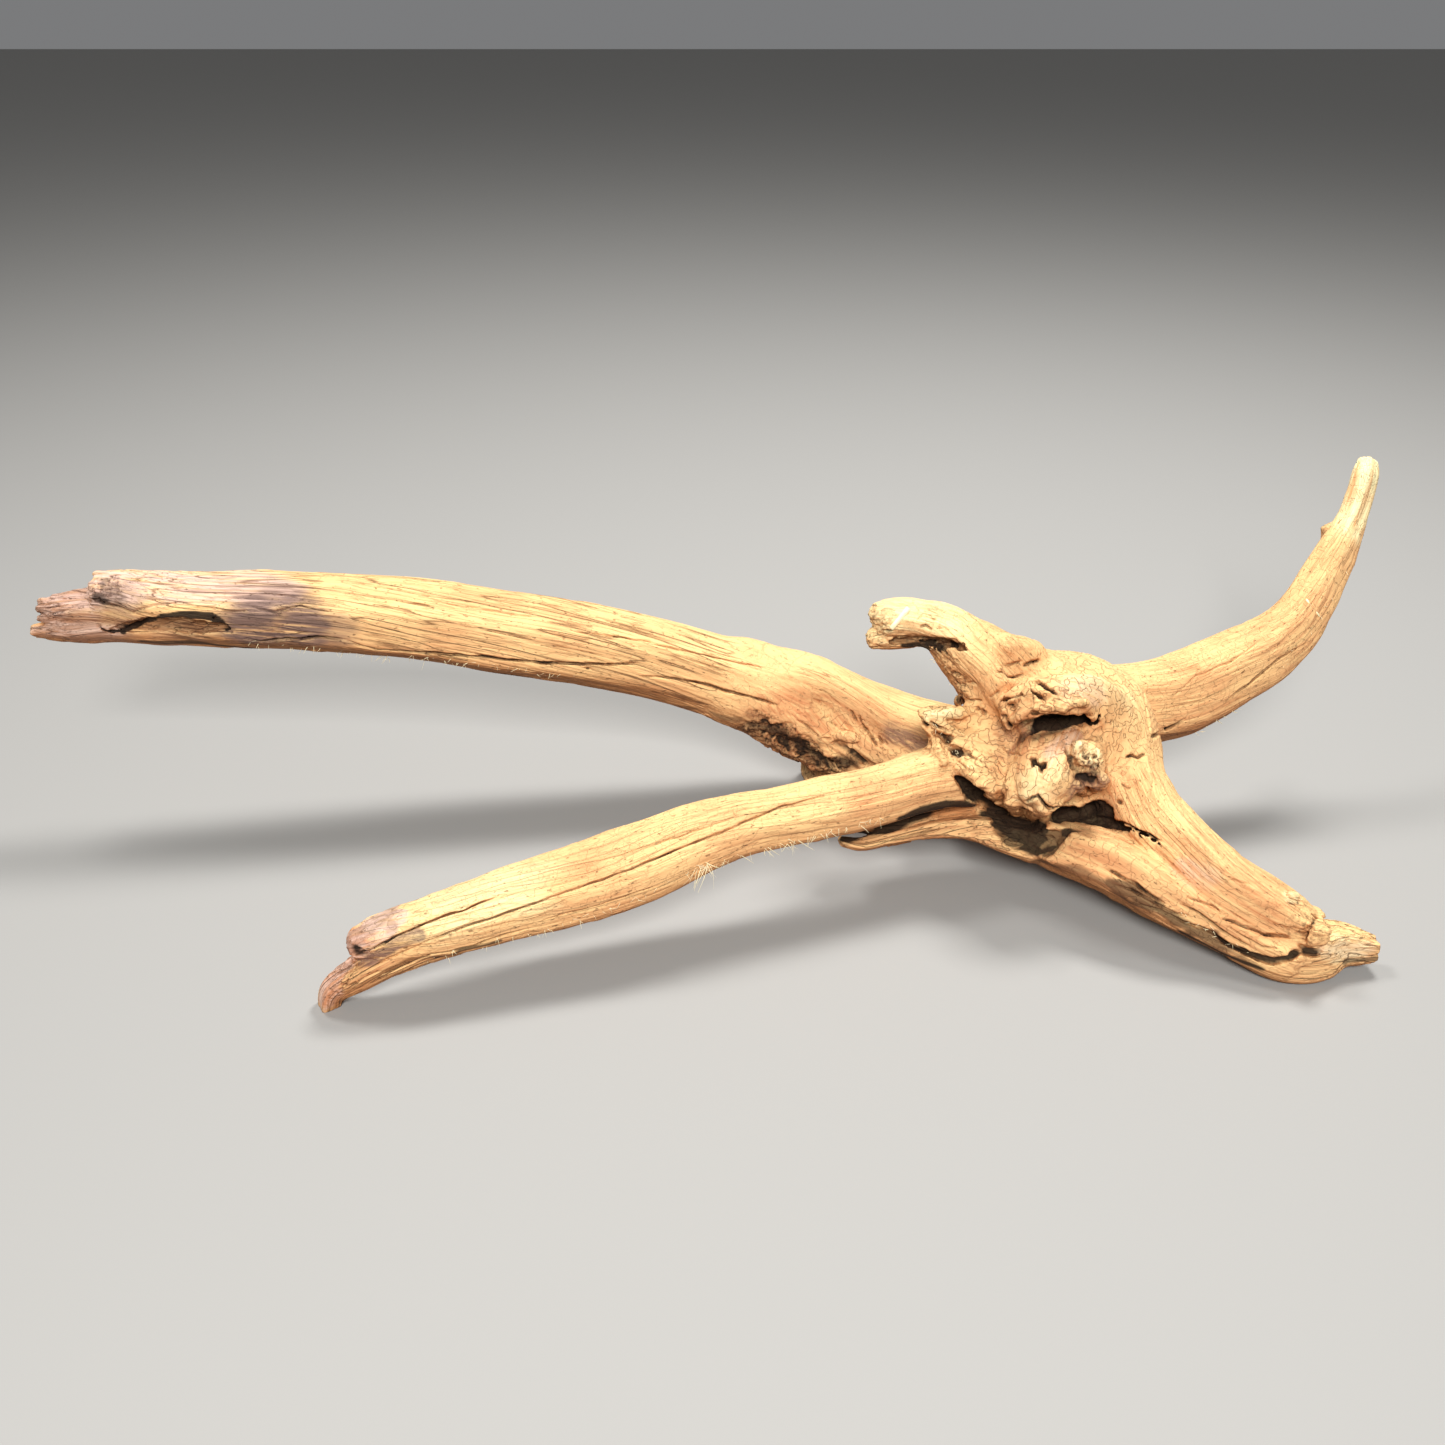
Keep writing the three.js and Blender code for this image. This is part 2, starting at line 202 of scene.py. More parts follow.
def unit(vectors):
    return vectors / np.linalg.norm(vectors, axis=-1, keepdims=True)


def within(points, low, high, margin):
    """Which points lie in a box, or within a margin of it."""
    return np.all((points > low - margin) & (points < high + margin), axis=1)


class Strand:
    """One run of wood fibres along a curve, from its tip to its root.

    Its section is an ellipse: the half height is seen by a viewer in front, and the half depth is flatness
    times that. cap is how far its rounded ends reach, as a share of the half height, and splinter is how far
    broken fibres stand out of them. blend is how widely it melts into the strands before it. ridges are its
    ribs: how many, how high as a share, how many turns they take, and where they start. rough and knotty say
    how much of each kind of relief it has, and twist and gnarl how its fibres turn and wander. The last
    setting, for a hollow, is how much painted shade darkens its walls, from 0 up.
    """

    def __init__(self, node, stations, flatness=1.0, blend=6.0, ridges=(), cap=0.7, splinter=0.0, rough=1.0,
                 twist=0.0, gnarl=1.4, knotty=0.0, hollow_wall_shade=0.3, seed=0):
        line = smooth_line(stations)
        self.node = node
        self.centre = line[:, :3]
        self.half = line[:, 3]
        self.step = np.linalg.norm(self.centre[1] - self.centre[0])
        self.tangent = unit(np.gradient(self.centre, axis=0))
        along = (self.tangent @ TOWARDS_VIEWER)[:, None] * self.tangent
        self.depth_way = unit(TOWARDS_VIEWER - along)
        self.height_way = np.cross(self.depth_way, self.tangent)
        self.inset = cap * self.half[[0, -1]] / self.step
        self.flatness = flatness
        self.blend = blend
        self.ridges = ridges
        self.cap = cap
        self.splinter = splinter
        self.rough = rough
        self.twist = twist
        self.gnarl = gnarl
        self.knotty = knotty
        self.hollow_wall_shade = hollow_wall_shade
        self.seed = seed
        self.low = self.centre.min(axis=0) - self.half.max() * max(1.0, flatness)
        self.high = self.centre.max(axis=0) + self.half.max() * max(1.0, flatness)

    def measure(self, points):
        """The section coordinates of each point, in mm: depth, height, length, length past the end, and size.

        The nearest centre-line point is found by least distance, then slid along the tangent between samples.
        """
        nearest = np.empty(len(points), dtype=np.int64)
        offset = (self.centre**2).sum(axis=1)
        for start in range(0, len(points), MOST_AT_ONCE):
            block = points[start:start + MOST_AT_ONCE]
            nearest[start:start + MOST_AT_ONCE] = np.argmin(offset - 2.0 * block @ self.centre.T, axis=1)
        slide = np.einsum("ij,ij->i", points - self.centre[nearest], self.tangent[nearest]) / self.step
        last = len(self.centre) - 1
        length = np.clip(nearest + slide, self.inset[0], last - self.inset[1]) * self.step
        centre, depth_way, height_way, tangent = self.at(length)
        away = points - centre
        depth = np.einsum("ij,ij->i", away, depth_way)
        height = np.einsum("ij,ij->i", away, height_way)
        past = np.abs(np.einsum("ij,ij->i", away, tangent))
        return depth, height, length, past, np.interp(length, self.step * np.arange(last + 1), self.half)

    def at(self, length):
        """The centre line's points and its three ways, at lengths along it."""
        place = length / self.step
        low = np.clip(place.astype(np.int64), 0, len(self.centre) - 2)
        share = (place - low)[:, None]
        tables = (self.centre, self.depth_way, self.height_way, self.tangent)
        return [table[low] * (1 - share) + table[low + 1] * share for table in tables]

    def gone_on(self, reach):
        """The same strand with its centre line going on straight past both ends."""
        longer = copy(self)
        extra = np.arange(1, int(reach / self.step) + 1)[:, None] * self.step
        before = self.centre[0] - extra[::-1] * self.tangent[0]
        after = self.centre[-1] + extra * self.tangent[-1]
        longer.centre = np.concatenate([before, self.centre, after])
        for name in ("depth_way", "height_way", "tangent", "half"):
            table = getattr(self, name)
            ends = [np.repeat(table[end:end + 1 or None], len(extra), axis=0) for end in (0, -1)]
            setattr(longer, name, np.concatenate([ends[0], table, ends[1]]))
        longer.inset = np.zeros(2)
        return longer

    def grain(self, depth, height, length):
        """Coordinates in mm that follow the fibres, twice across them and once along.

        They turn by the strand's twist, and wander sideways by its gnarl.
        """
        turn = self.twist * length
        shift = [part * self.seed for part in SEED_SHIFT]
        plain = np.stack([depth * np.cos(turn) - height * np.sin(turn) + shift[0],
                          depth * np.sin(turn) + height * np.cos(turn) + shift[1],
                          length + shift[2]], axis=1)
        slow = plain / np.array([WANDER["across"], WANDER["across"], WANDER["along"]])
        plain[:, 0] += self.gnarl * noise(slow, 7)
        plain[:, 1] += self.gnarl * noise(slow, 8)
        return plain

    def field(self, points):
        """Signed distance to the strand without its grain, in mm, and the points' grain coordinates.

        The distance from the centre line is scaled by how far out the wall of the ellipse lies on that line.
        """
        depth, height, length, past, half = self.measure(points)
        grain = self.grain(depth, height, length)
        if self.splinter:
            wide, thin = [grain / np.array([across, across, ENDLESS]) for across in SPLINTERED]
            spread = noise(wide, 5) + 0.5 * noise(thin, 6)
            past = np.maximum(0.0, past - self.splinter * np.clip(0.5 + 0.8 * spread, 0.0, 1.2))
        wide = depth / self.flatness
        angle = np.arctan2(height, wide)
        share = length / (self.step * len(self.centre))
        wall = half.copy()
        for count, height_share, turns, phase in self.ridges:
            wall *= 1 + height_share * np.cos(count * angle + 2 * math.pi * turns * share + phase)
        reach = np.sqrt(wide**2 + height**2 + (past / self.cap) ** 2) + 1e-6
        true = np.sqrt(depth**2 + height**2 + past**2)
        return true * (1 - wall / reach), grain


# Noise

RANDOM = np.random.default_rng(2611)
SLOPES = unit(RANDOM.normal(size=(256, 3))).T.astype(np.float32).copy()
SHUFFLE = RANDOM.permutation(256)


def noise(where, seed):
    """Gradient noise from about -1 to 1: at each whole point a random slope, joined by a smooth step.

    Every kind of noise has a seed of its own, so that no two of them line up.
    """
    low = np.floor(where)
    x, y, z = (where - low).astype(np.float32).T
    cell = (low.astype(np.int64) & 255).T
    ease = [(1 - step, step) for step in (part**3 * (part * (part * 6 - 15) + 10) for part in (x, y, z))]
    total = np.zeros(len(where), dtype=np.float32)
    for i, j in ((0, 0), (0, 1), (1, 0), (1, 1)):
        row = SHUFFLE[(SHUFFLE[(cell[0] + i + 17 * seed) & 255] + cell[1] + j) & 255]
        for k in (0, 1):
            mixed = SHUFFLE[(row + cell[2] + k) & 255]
            slope = SLOPES[0][mixed] * (x - i) + SLOPES[1][mixed] * (y - j) + SLOPES[2][mixed] * (z - k)
            total += ease[0][i] * ease[1][j] * ease[2][k] * slope
    return 1.6 * total


def crease(values, width):
    """A narrow line, 1 in its middle, wherever the values cross zero."""
    return np.clip(1 - np.abs(values) / width, 0.0, 1.0) ** 2


def smooth_step(values):
    eased = np.clip(values, 0.0, 1.0)
    return eased * eased * (3 - 2 * eased)


def torn(points):
    """How far torn wood stands back, in mm: folded noise, longer along X, as most of the fibres run."""
    spots = points / np.array([TORN["along"], TORN["across"], TORN["across"]])
    return TORN["height"] * (0.5 - 1.5 * np.abs(noise(spots, 61)) + 0.4 * noise(2.3 * spots, 62))


def grain_relief(grain, rough, knotty, shape):
    """How far the bare wood stands out, in mm, and how deep in a groove a point lies, from 0 to 1.

    Lumps and swells are noise stretched along the fibres. Grooves and flutes are the lines where such noise
    crosses zero, so they run along the fibres, fork and die out, and knotty wood has few. Tears are torn
    fibres, which stand out where their noise is high. Knots are the ridges of noise that is nearly as wide
    as it is long.
    """
    def layer(kind, seed):
        return noise(grain / np.array([kind["across"], kind["across"], kind["along"]]), seed)

    swells = layer(SWELL, 14)
    strength = np.clip(0.55 + 0.95 * layer(SWELL, 15), 0.05, 1.4)
    grooves = crease(layer(GROOVE, 11), 0.13) * strength
    flutes = crease(layer(FLUTE, 12), 0.22)
    tears = smooth_step(5 * (layer(TEAR, 17) - 0.12)) * strength
    out = LUMP["height"] * layer(LUMP, 13) + SWELL["height"] * swells + TEAR["height"] * tears * rough
    lined = 1 - 0.8 * knotty
    out -= lined * (shape.groove_depth * grooves + shape.flute_depth * flutes)
    out += FIBRE["height"] * layer(FIBRE, 16)
    if knotty:
        out += knotty * KNOT["height"] * (0.45 - 1.6 * np.abs(layer(KNOT, 18)))
    groove = lined * np.clip(grooves + 0.45 * flutes, 0.0, 1.0)
    return rough * out, groove


# Each station is x, y, z and half height: the CAD model's, some moved by up to 3 mm to meet the photograph's
# outline. After the stations come the flatness and the blend.
STRANDS = {
    "core": Strand("crown", [
        (136, 24, 80, 16), (152, 19, 76, 25), (167, 15, 68, 29), (177, 9, 57, 26), (182, 1, 42, 19),
    ], 1.0, 8, ridges=((3, 0.05, 0.3, 0.0),), twist=0.02, gnarl=6, knotty=0.8, seed=1),
    "belly": Strand("crown", [
        (100, 16, 38, 8), (116, 14, 36, 14), (136, 8, 34, 18), (160, 0, 34, 20), (182, -10, 33, 17),
    ], 1.0, 8, ridges=((3, 0.06, 0.3, 0.0),), gnarl=4, knotty=0.6, seed=2),
    "heelKnot": Strand("heel_root", [
        (0, 65, 66, 17), (12, 65, 62, 19), (34, 64, 54, 22), (56, 60, 45, 24), (83, 52, 40, 22),
        (111, 42, 38, 19), (141, 32, 38, 18),
    ], 0.9, 10, ridges=((3, 0.08, 0.7, 2.2), (6, 0.05, 0.9, 0.2)), rough=1.2, twist=0.02, gnarl=4,
       knotty=0.7, seed=3),
    "heelToe": Strand("heel_root", [
        (68, 60, 46, 16), (60, 68, 28, 16), (57, 72, 11, 13), (56, 73, -5, 12),
    ], 1.0, 9, ridges=((4, 0.1, 0.3, 0.9),), seed=4),
    "saddle": Strand("heel_root", [
        (36, 64, 68, 8), (50, 60, 66, 10), (63, 56, 62, 10), (86, 48, 54, 11), (112, 40, 50, 11),
        (138, 30, 48, 12),
    ], 1.2, 7, ridges=((2, 0.08, 0.5, 0.0),), rough=0.6, twist=0.01, gnarl=3, seed=5),
    "longBranch": Strand("long_branch", [
        (-284, 42, 121, 9), (-275, 43, 119.5, 10.5), (-262, 45, 115, 13), (-239, 46, 110.5, 15.8),
        (-195, 51, 107, 18), (-136, 57, 99, 19.5), (-103, 60, 92, 20), (-61, 62, 84, 20), (-27, 64, 75, 19),
        (-2, 65, 67, 19), (21, 65, 59, 20), (48, 62, 49, 22),
    ], 0.95, 9, ridges=((3, 0.06, 0.6, 0.4), (7, 0.035, -0.5, 1.1)), cap=0.35, splinter=3.0, twist=0.004,
       seed=6),
    "longProng": Strand("long_branch", [
        (-309, 40, 113, 4.5), (-302, 41, 112.5, 7), (-293, 42, 112, 9), (-280, 43, 111.5, 10),
        (-257, 44, 107, 11), (-227, 48, 102, 8),
    ], 0.9, 3, ridges=((5, 0.12, 0.2, 0.3),), cap=0.5, splinter=3.0, rough=1.2, seed=7),
    "longFinger": Strand("long_branch", [
        (-314, 38, 103.5, 2.3), (-305, 39, 103.5, 4), (-294, 40, 103.5, 5.6), (-276, 42, 104, 7),
        (-255, 44, 102, 8), (-222, 49, 101, 7),
    ], 1.2, 2.5, ridges=((3, 0.1, 0.2, 0.3),), splinter=2.0, seed=8),
    "frontBranch": Strand("front_branch", [
        (-148, -98, 29, 5.5), (-143, -97, 29.5, 7), (-135, -95, 30.5, 9), (-112, -88, 31, 13),
        (-82, -76, 34, 15), (-61, -69, 36, 16), (-32, -59, 41, 16.5), (-7, -49, 47, 15),
        (11, -43, 50, 13.5), (28, -37, 50, 12.5), (46, -30, 50, 13), (73, -20, 51, 13), (94, -11, 53, 13.5),
        (113, -3, 52, 15), (138, 6, 48, 17),
    ], 0.95, 8, ridges=((3, 0.06, 0.3, 1.3), (7, 0.035, 0.2, 0.5)), cap=0.6, rough=0.85, twist=0.003,
       knotty=0.35, seed=9),
    "frontProng": Strand("front_branch", [
        (-161, -100, -3, 4), (-156.5, -100.5, 8, 5.2), (-147, -99, 14.5, 6.6), (-136, -96, 19.5, 7.2),
        (-121, -92, 25, 8.2), (-104, -86, 28.5, 9),
    ], 1.1, 2.5, ridges=((4, 0.1, 0.2, 0.0),), splinter=2.0, seed=10),
    "legOver": Strand("right_leg", [
        (253, -76, 20.5, 7), (246, -75, 22, 10.5), (231, -68, 26.5, 14), (215, -58, 32, 16),
        (202, -44, 37, 17), (191, -24, 40, 19), (182, -4, 47, 21), (173, 12, 58, 23),
    ], 1.0, 8, ridges=((3, 0.06, 0.4, 0.2), (7, 0.04, 0.6, 0.8)), cap=0.35, splinter=2.5, twist=0.006,
       knotty=0.35, seed=11),
    "legUnder": Strand("right_leg", [
        (246, -82, 9, 8), (236, -79, 11, 9.5), (212, -66, 17, 11), (190, -54, 25, 13), (171, -41, 30, 13),
        (150, -27, 30, 11), (130, -10, 31, 9),
    ], 1.3, 4, ridges=((5, 0.08, 0.5, 0.6),), splinter=2.0, twist=0.006, knotty=0.5, seed=12),
    "legSole": Strand("right_leg", [
        (280, -76, 9.6, 5), (274, -76, 10.5, 6.6), (265, -76, 11.8, 8.8), (254, -78, 11, 12.6),
        (240, -79, 11.5, 13), (222, -73, 16, 11),
    ], 0.85, 2.5, ridges=((4, 0.1, 0.1, 0.6),), cap=0.2, splinter=1.5, rough=1.3, seed=13),
    "horn": Strand("horn", [
        (312.5, 103, 163, 4.2), (311, 99, 158, 6), (309, 95, 149, 6.6), (305.5, 90, 139, 7.2),
        (299.5, 83, 127, 9.6), (292, 76, 114, 11.2), (283.5, 68, 101, 12.4), (275, 63, 90, 14.5),
        (263, 58, 82, 16.5), (247, 52, 76, 17.5), (224, 45, 67, 19.5), (203, 38, 65, 19), (180, 32, 66, 19),
        (160, 26, 64, 17),
    ], 0.75, 8, ridges=((2, 0.07, 0.2, 0.9), (5, 0.05, 0.4, 0.3)), rough=0.75, twist=0.006, knotty=0.4,
       seed=14),
    "hornSpur": Strand("horn", [
        (295, 90, 135.5, 4.6), (297, 88, 131, 6), (298, 84, 122, 7.5), (294, 79, 112, 7),
    ], 1.0, 1.2, cap=0.2, seed=15),
    "hook": Strand("hook", [
        (74, 28, 112, 9.6), (84, 28, 113, 10.3), (94, 27, 112.3, 10.2), (103, 25, 110, 11.5),
        (112, 22, 103.5, 14), (122, 20, 96.5, 16), (136, 18, 84, 20), (150, 16, 74, 22),
    ], 1.05, 7, ridges=((3, 0.08, 0.4, 0.5), (5, 0.05, 0.3, 1.0)), cap=0.5, splinter=2.0, twist=0.01,
       knotty=0.35, seed=16),
    "hookTip": Strand("hook", [
        (71, 27, 117.5, 3.8), (78, 27, 117, 6.2), (92, 27, 113.5, 8.5),
    ], 1.1, 3, splinter=1.5, seed=17),
    "hookLip": Strand("hook", [
        (69, 25, 106, 4.5), (76, 25, 107, 6), (92, 26, 110, 8),
    ], 1.1, 3, splinter=1.5, seed=18),
    "hookWeb": Strand("hook", [
        (100, 22, 106, 4), (106, 20, 100.5, 6.5), (112.5, 18, 92.5, 7.5), (118, 14, 84, 8), (124, 11, 76, 8),
    ], 0.9, 4, ridges=((3, 0.12, 0.3, 0.4),), rough=0.8, knotty=0.95, seed=25),
    "brow": Strand("crown", [
        (130, -5, 82, 4), (132, -11, 91, 6.5), (138, -13, 96, 8), (152, -12, 97, 8.5), (164, -7, 93, 9),
        (173, -1, 82, 10), (178, 6, 68, 10),
    ], 1.0, 7, ridges=((3, 0.1, 0.6, 0.7),), rough=1.3, twist=0.03, gnarl=5, knotty=1.0, seed=19),
    "snout": Strand("crown", [
        (138, -38, 57, 7), (140, -34, 61, 13), (144, -26, 66, 16.5), (149, -10, 67, 19), (155, 8, 66, 20),
    ], 0.85, 5, ridges=((2, 0.14, 0.0, 0.2), (5, 0.05, 0.0, 0.5)), cap=0.45, rough=0.6, gnarl=5, knotty=0.8,
       seed=20),
    "knob": Strand("crown", [
        (160, -35, 68, 4.5), (160, -31, 70, 7), (162, -20, 70, 8), (166, -6, 68, 9),
    ], 1.0, 3, ridges=((3, 0.08, 0.0, 0.2),), rough=1.3, gnarl=4, knotty=0.8, seed=21),
    "beak": Strand("crown", [
        (93, 1, 79, 3), (99, 2, 76, 6), (110, 5, 68, 11), (126, 9, 64, 16), (144, 14, 66, 18),
    ], 0.9, 6, ridges=((4, 0.1, 0.4, 0.2),), rough=1.3, gnarl=5, knotty=1.0, seed=22),
    "cheek": Strand("crown", [
        (104, 2, 68, 7), (113, -3, 61, 11), (122, -11, 57, 12), (130, -20, 55, 10), (137, -26, 55, 8),
    ], 0.9, 5, ridges=((3, 0.1, 0.2, 0.2),), rough=1.3, gnarl=5, knotty=1.0, seed=23),
    "flap": Strand("crown", [
        (56, -22, 28, 1.8), (66, -21, 25.5, 2.4), (79, -17, 26, 3), (92, -15, 28.5, 4.2),
        (104, -13, 30, 5.8), (118, -12, 30.5, 7.5), (134, -15, 30, 10), (152, -20, 28, 11),
    ], 1.5, 2, ridges=((2, 0.25, 0.2, 0.9), (5, 0.1, 0.9, 0.4)), rough=1.2, seed=24),
    "flapWeb": Strand("crown", [
        (54, -15, 31, 2.5), (64, -11, 29.5, 4.5), (78, -9, 28.5, 6), (92, -7, 29, 7), (108, -6, 31, 8),
        (122, -6, 33, 9),
    ], 1.0, 2, rough=1.2, seed=26),
}

# Hollows are strands of air, with the same kind of stations. Their walls are painted with shade that darkens
# deeper in.
HOLLOWS = {
    "slot": Strand("long_branch", [
        (-277, 33, 106, 1.2), (-270, 34, 107.5, 2.4), (-259, 33, 109.5, 3.8), (-242, 31, 109.5, 4.4),
        (-228, 32, 109, 3.4), (-219, 33, 107, 1.2),
    ], 1.1, 1.2, hollow_wall_shade=0.5, seed=31),
    "browHollow": Strand("crown", [
        (127, -10, 82, 2.5), (132, -14, 83, 4.5), (141, -14, 86, 5.5), (152, -13, 87, 5.5),
        (163, -11, 86, 3.5),
    ], 1.8, 2.0, hollow_wall_shade=1.1, seed=32),
    "legCrack": Strand("right_leg", [
        (152, -16, 39, 3), (161, -19, 40, 4), (171, -26, 41.5, 3.2), (181, -36, 43.5, 1.6),
        (191, -49, 45, 0.4),
    ], 2.2, 1.2, hollow_wall_shade=1.2, seed=33),
    "cheekGap": Strand("crown", [
        (104, -14, 57.5, 0.8), (109, -15, 56, 2.6), (114.5, -17, 52.5, 5), (121, -19, 49.5, 6.4),
        (127, -21, 45, 6.8), (134, -22, 41, 6), (146, -22, 38, 4.5),
    ], 2.4, 3.5, hollow_wall_shade=1.2, seed=35),
    "hookGroove": Strand("hook", [
        (77, 21, 106.5, 0.6), (87, 18, 108.6, 2.0), (96, 15, 109.5, 2.8), (104, 12, 110, 2.6),
        (111, 9, 109, 1.2),
    ], 2.2, 1.2, hollow_wall_shade=0.6, seed=34),
}

# Where each fork is split: a point on the fork and the way that the limb leaves it.
FORKS = {
    "long_branch": {"at": (16, 65, 61), "out": (-1, 0.05, 0.35)},
    "heel_root": {"at": (100, 45, 42), "out": (-0.9, 0.4, 0.05)},
    "front_branch": {"at": (92, -12, 52), "out": (-0.93, -0.36, -0.03)},
    "right_leg": {"at": (186, -26, 38), "out": (0.6, -0.75, -0.25)},
    "horn": {"at": (206, 39, 65), "out": (0.95, 0.28, 0.02)},
    "hook": {"at": (121, 20, 97), "out": (-0.72, 0.13, 0.68)},
}
# At the heel the long branch and the heel root run through each other, so each counts both as its own.
RUNS_ON = {"long_branch": ("long_branch", "heel_root"), "heel_root": ("heel_root", "long_branch")}


# Marks that the photograph shows, each with the pixels that it runs along. Sizes are in mm. A form is a
# ridge, or a gouge if it is of air: a chain of balls with these radii. rise is how far they stand out of the
# wood, torn is how rough its walls are, from 0 to 1, and dark is how much painted shade darkens a gouge's
# walls.
Form = namedtuple("Form", "pixels sizes air rise blend dark torn", defaults=(False, 0.0, 3.0, 0.6, 0.7))
Crack = namedtuple("Crack", "width depth pixels")
Pit = namedtuple("Pit", "radius depth pixels")
# A zone is wood of one kind of colour. Noise moves its edge by ragged, as a share of its radius.
Zone = namedtuple("Zone", "radius amount pixels sharpness ragged", defaults=(1.4, 0.35))
# A tuft is a row of loose fibres: how many, their shortest and longest, and how far they droop.
Tuft = namedtuple("Tuft", "number lengths droop pixels")
Splinter = namedtuple("Splinter", "width pixels")

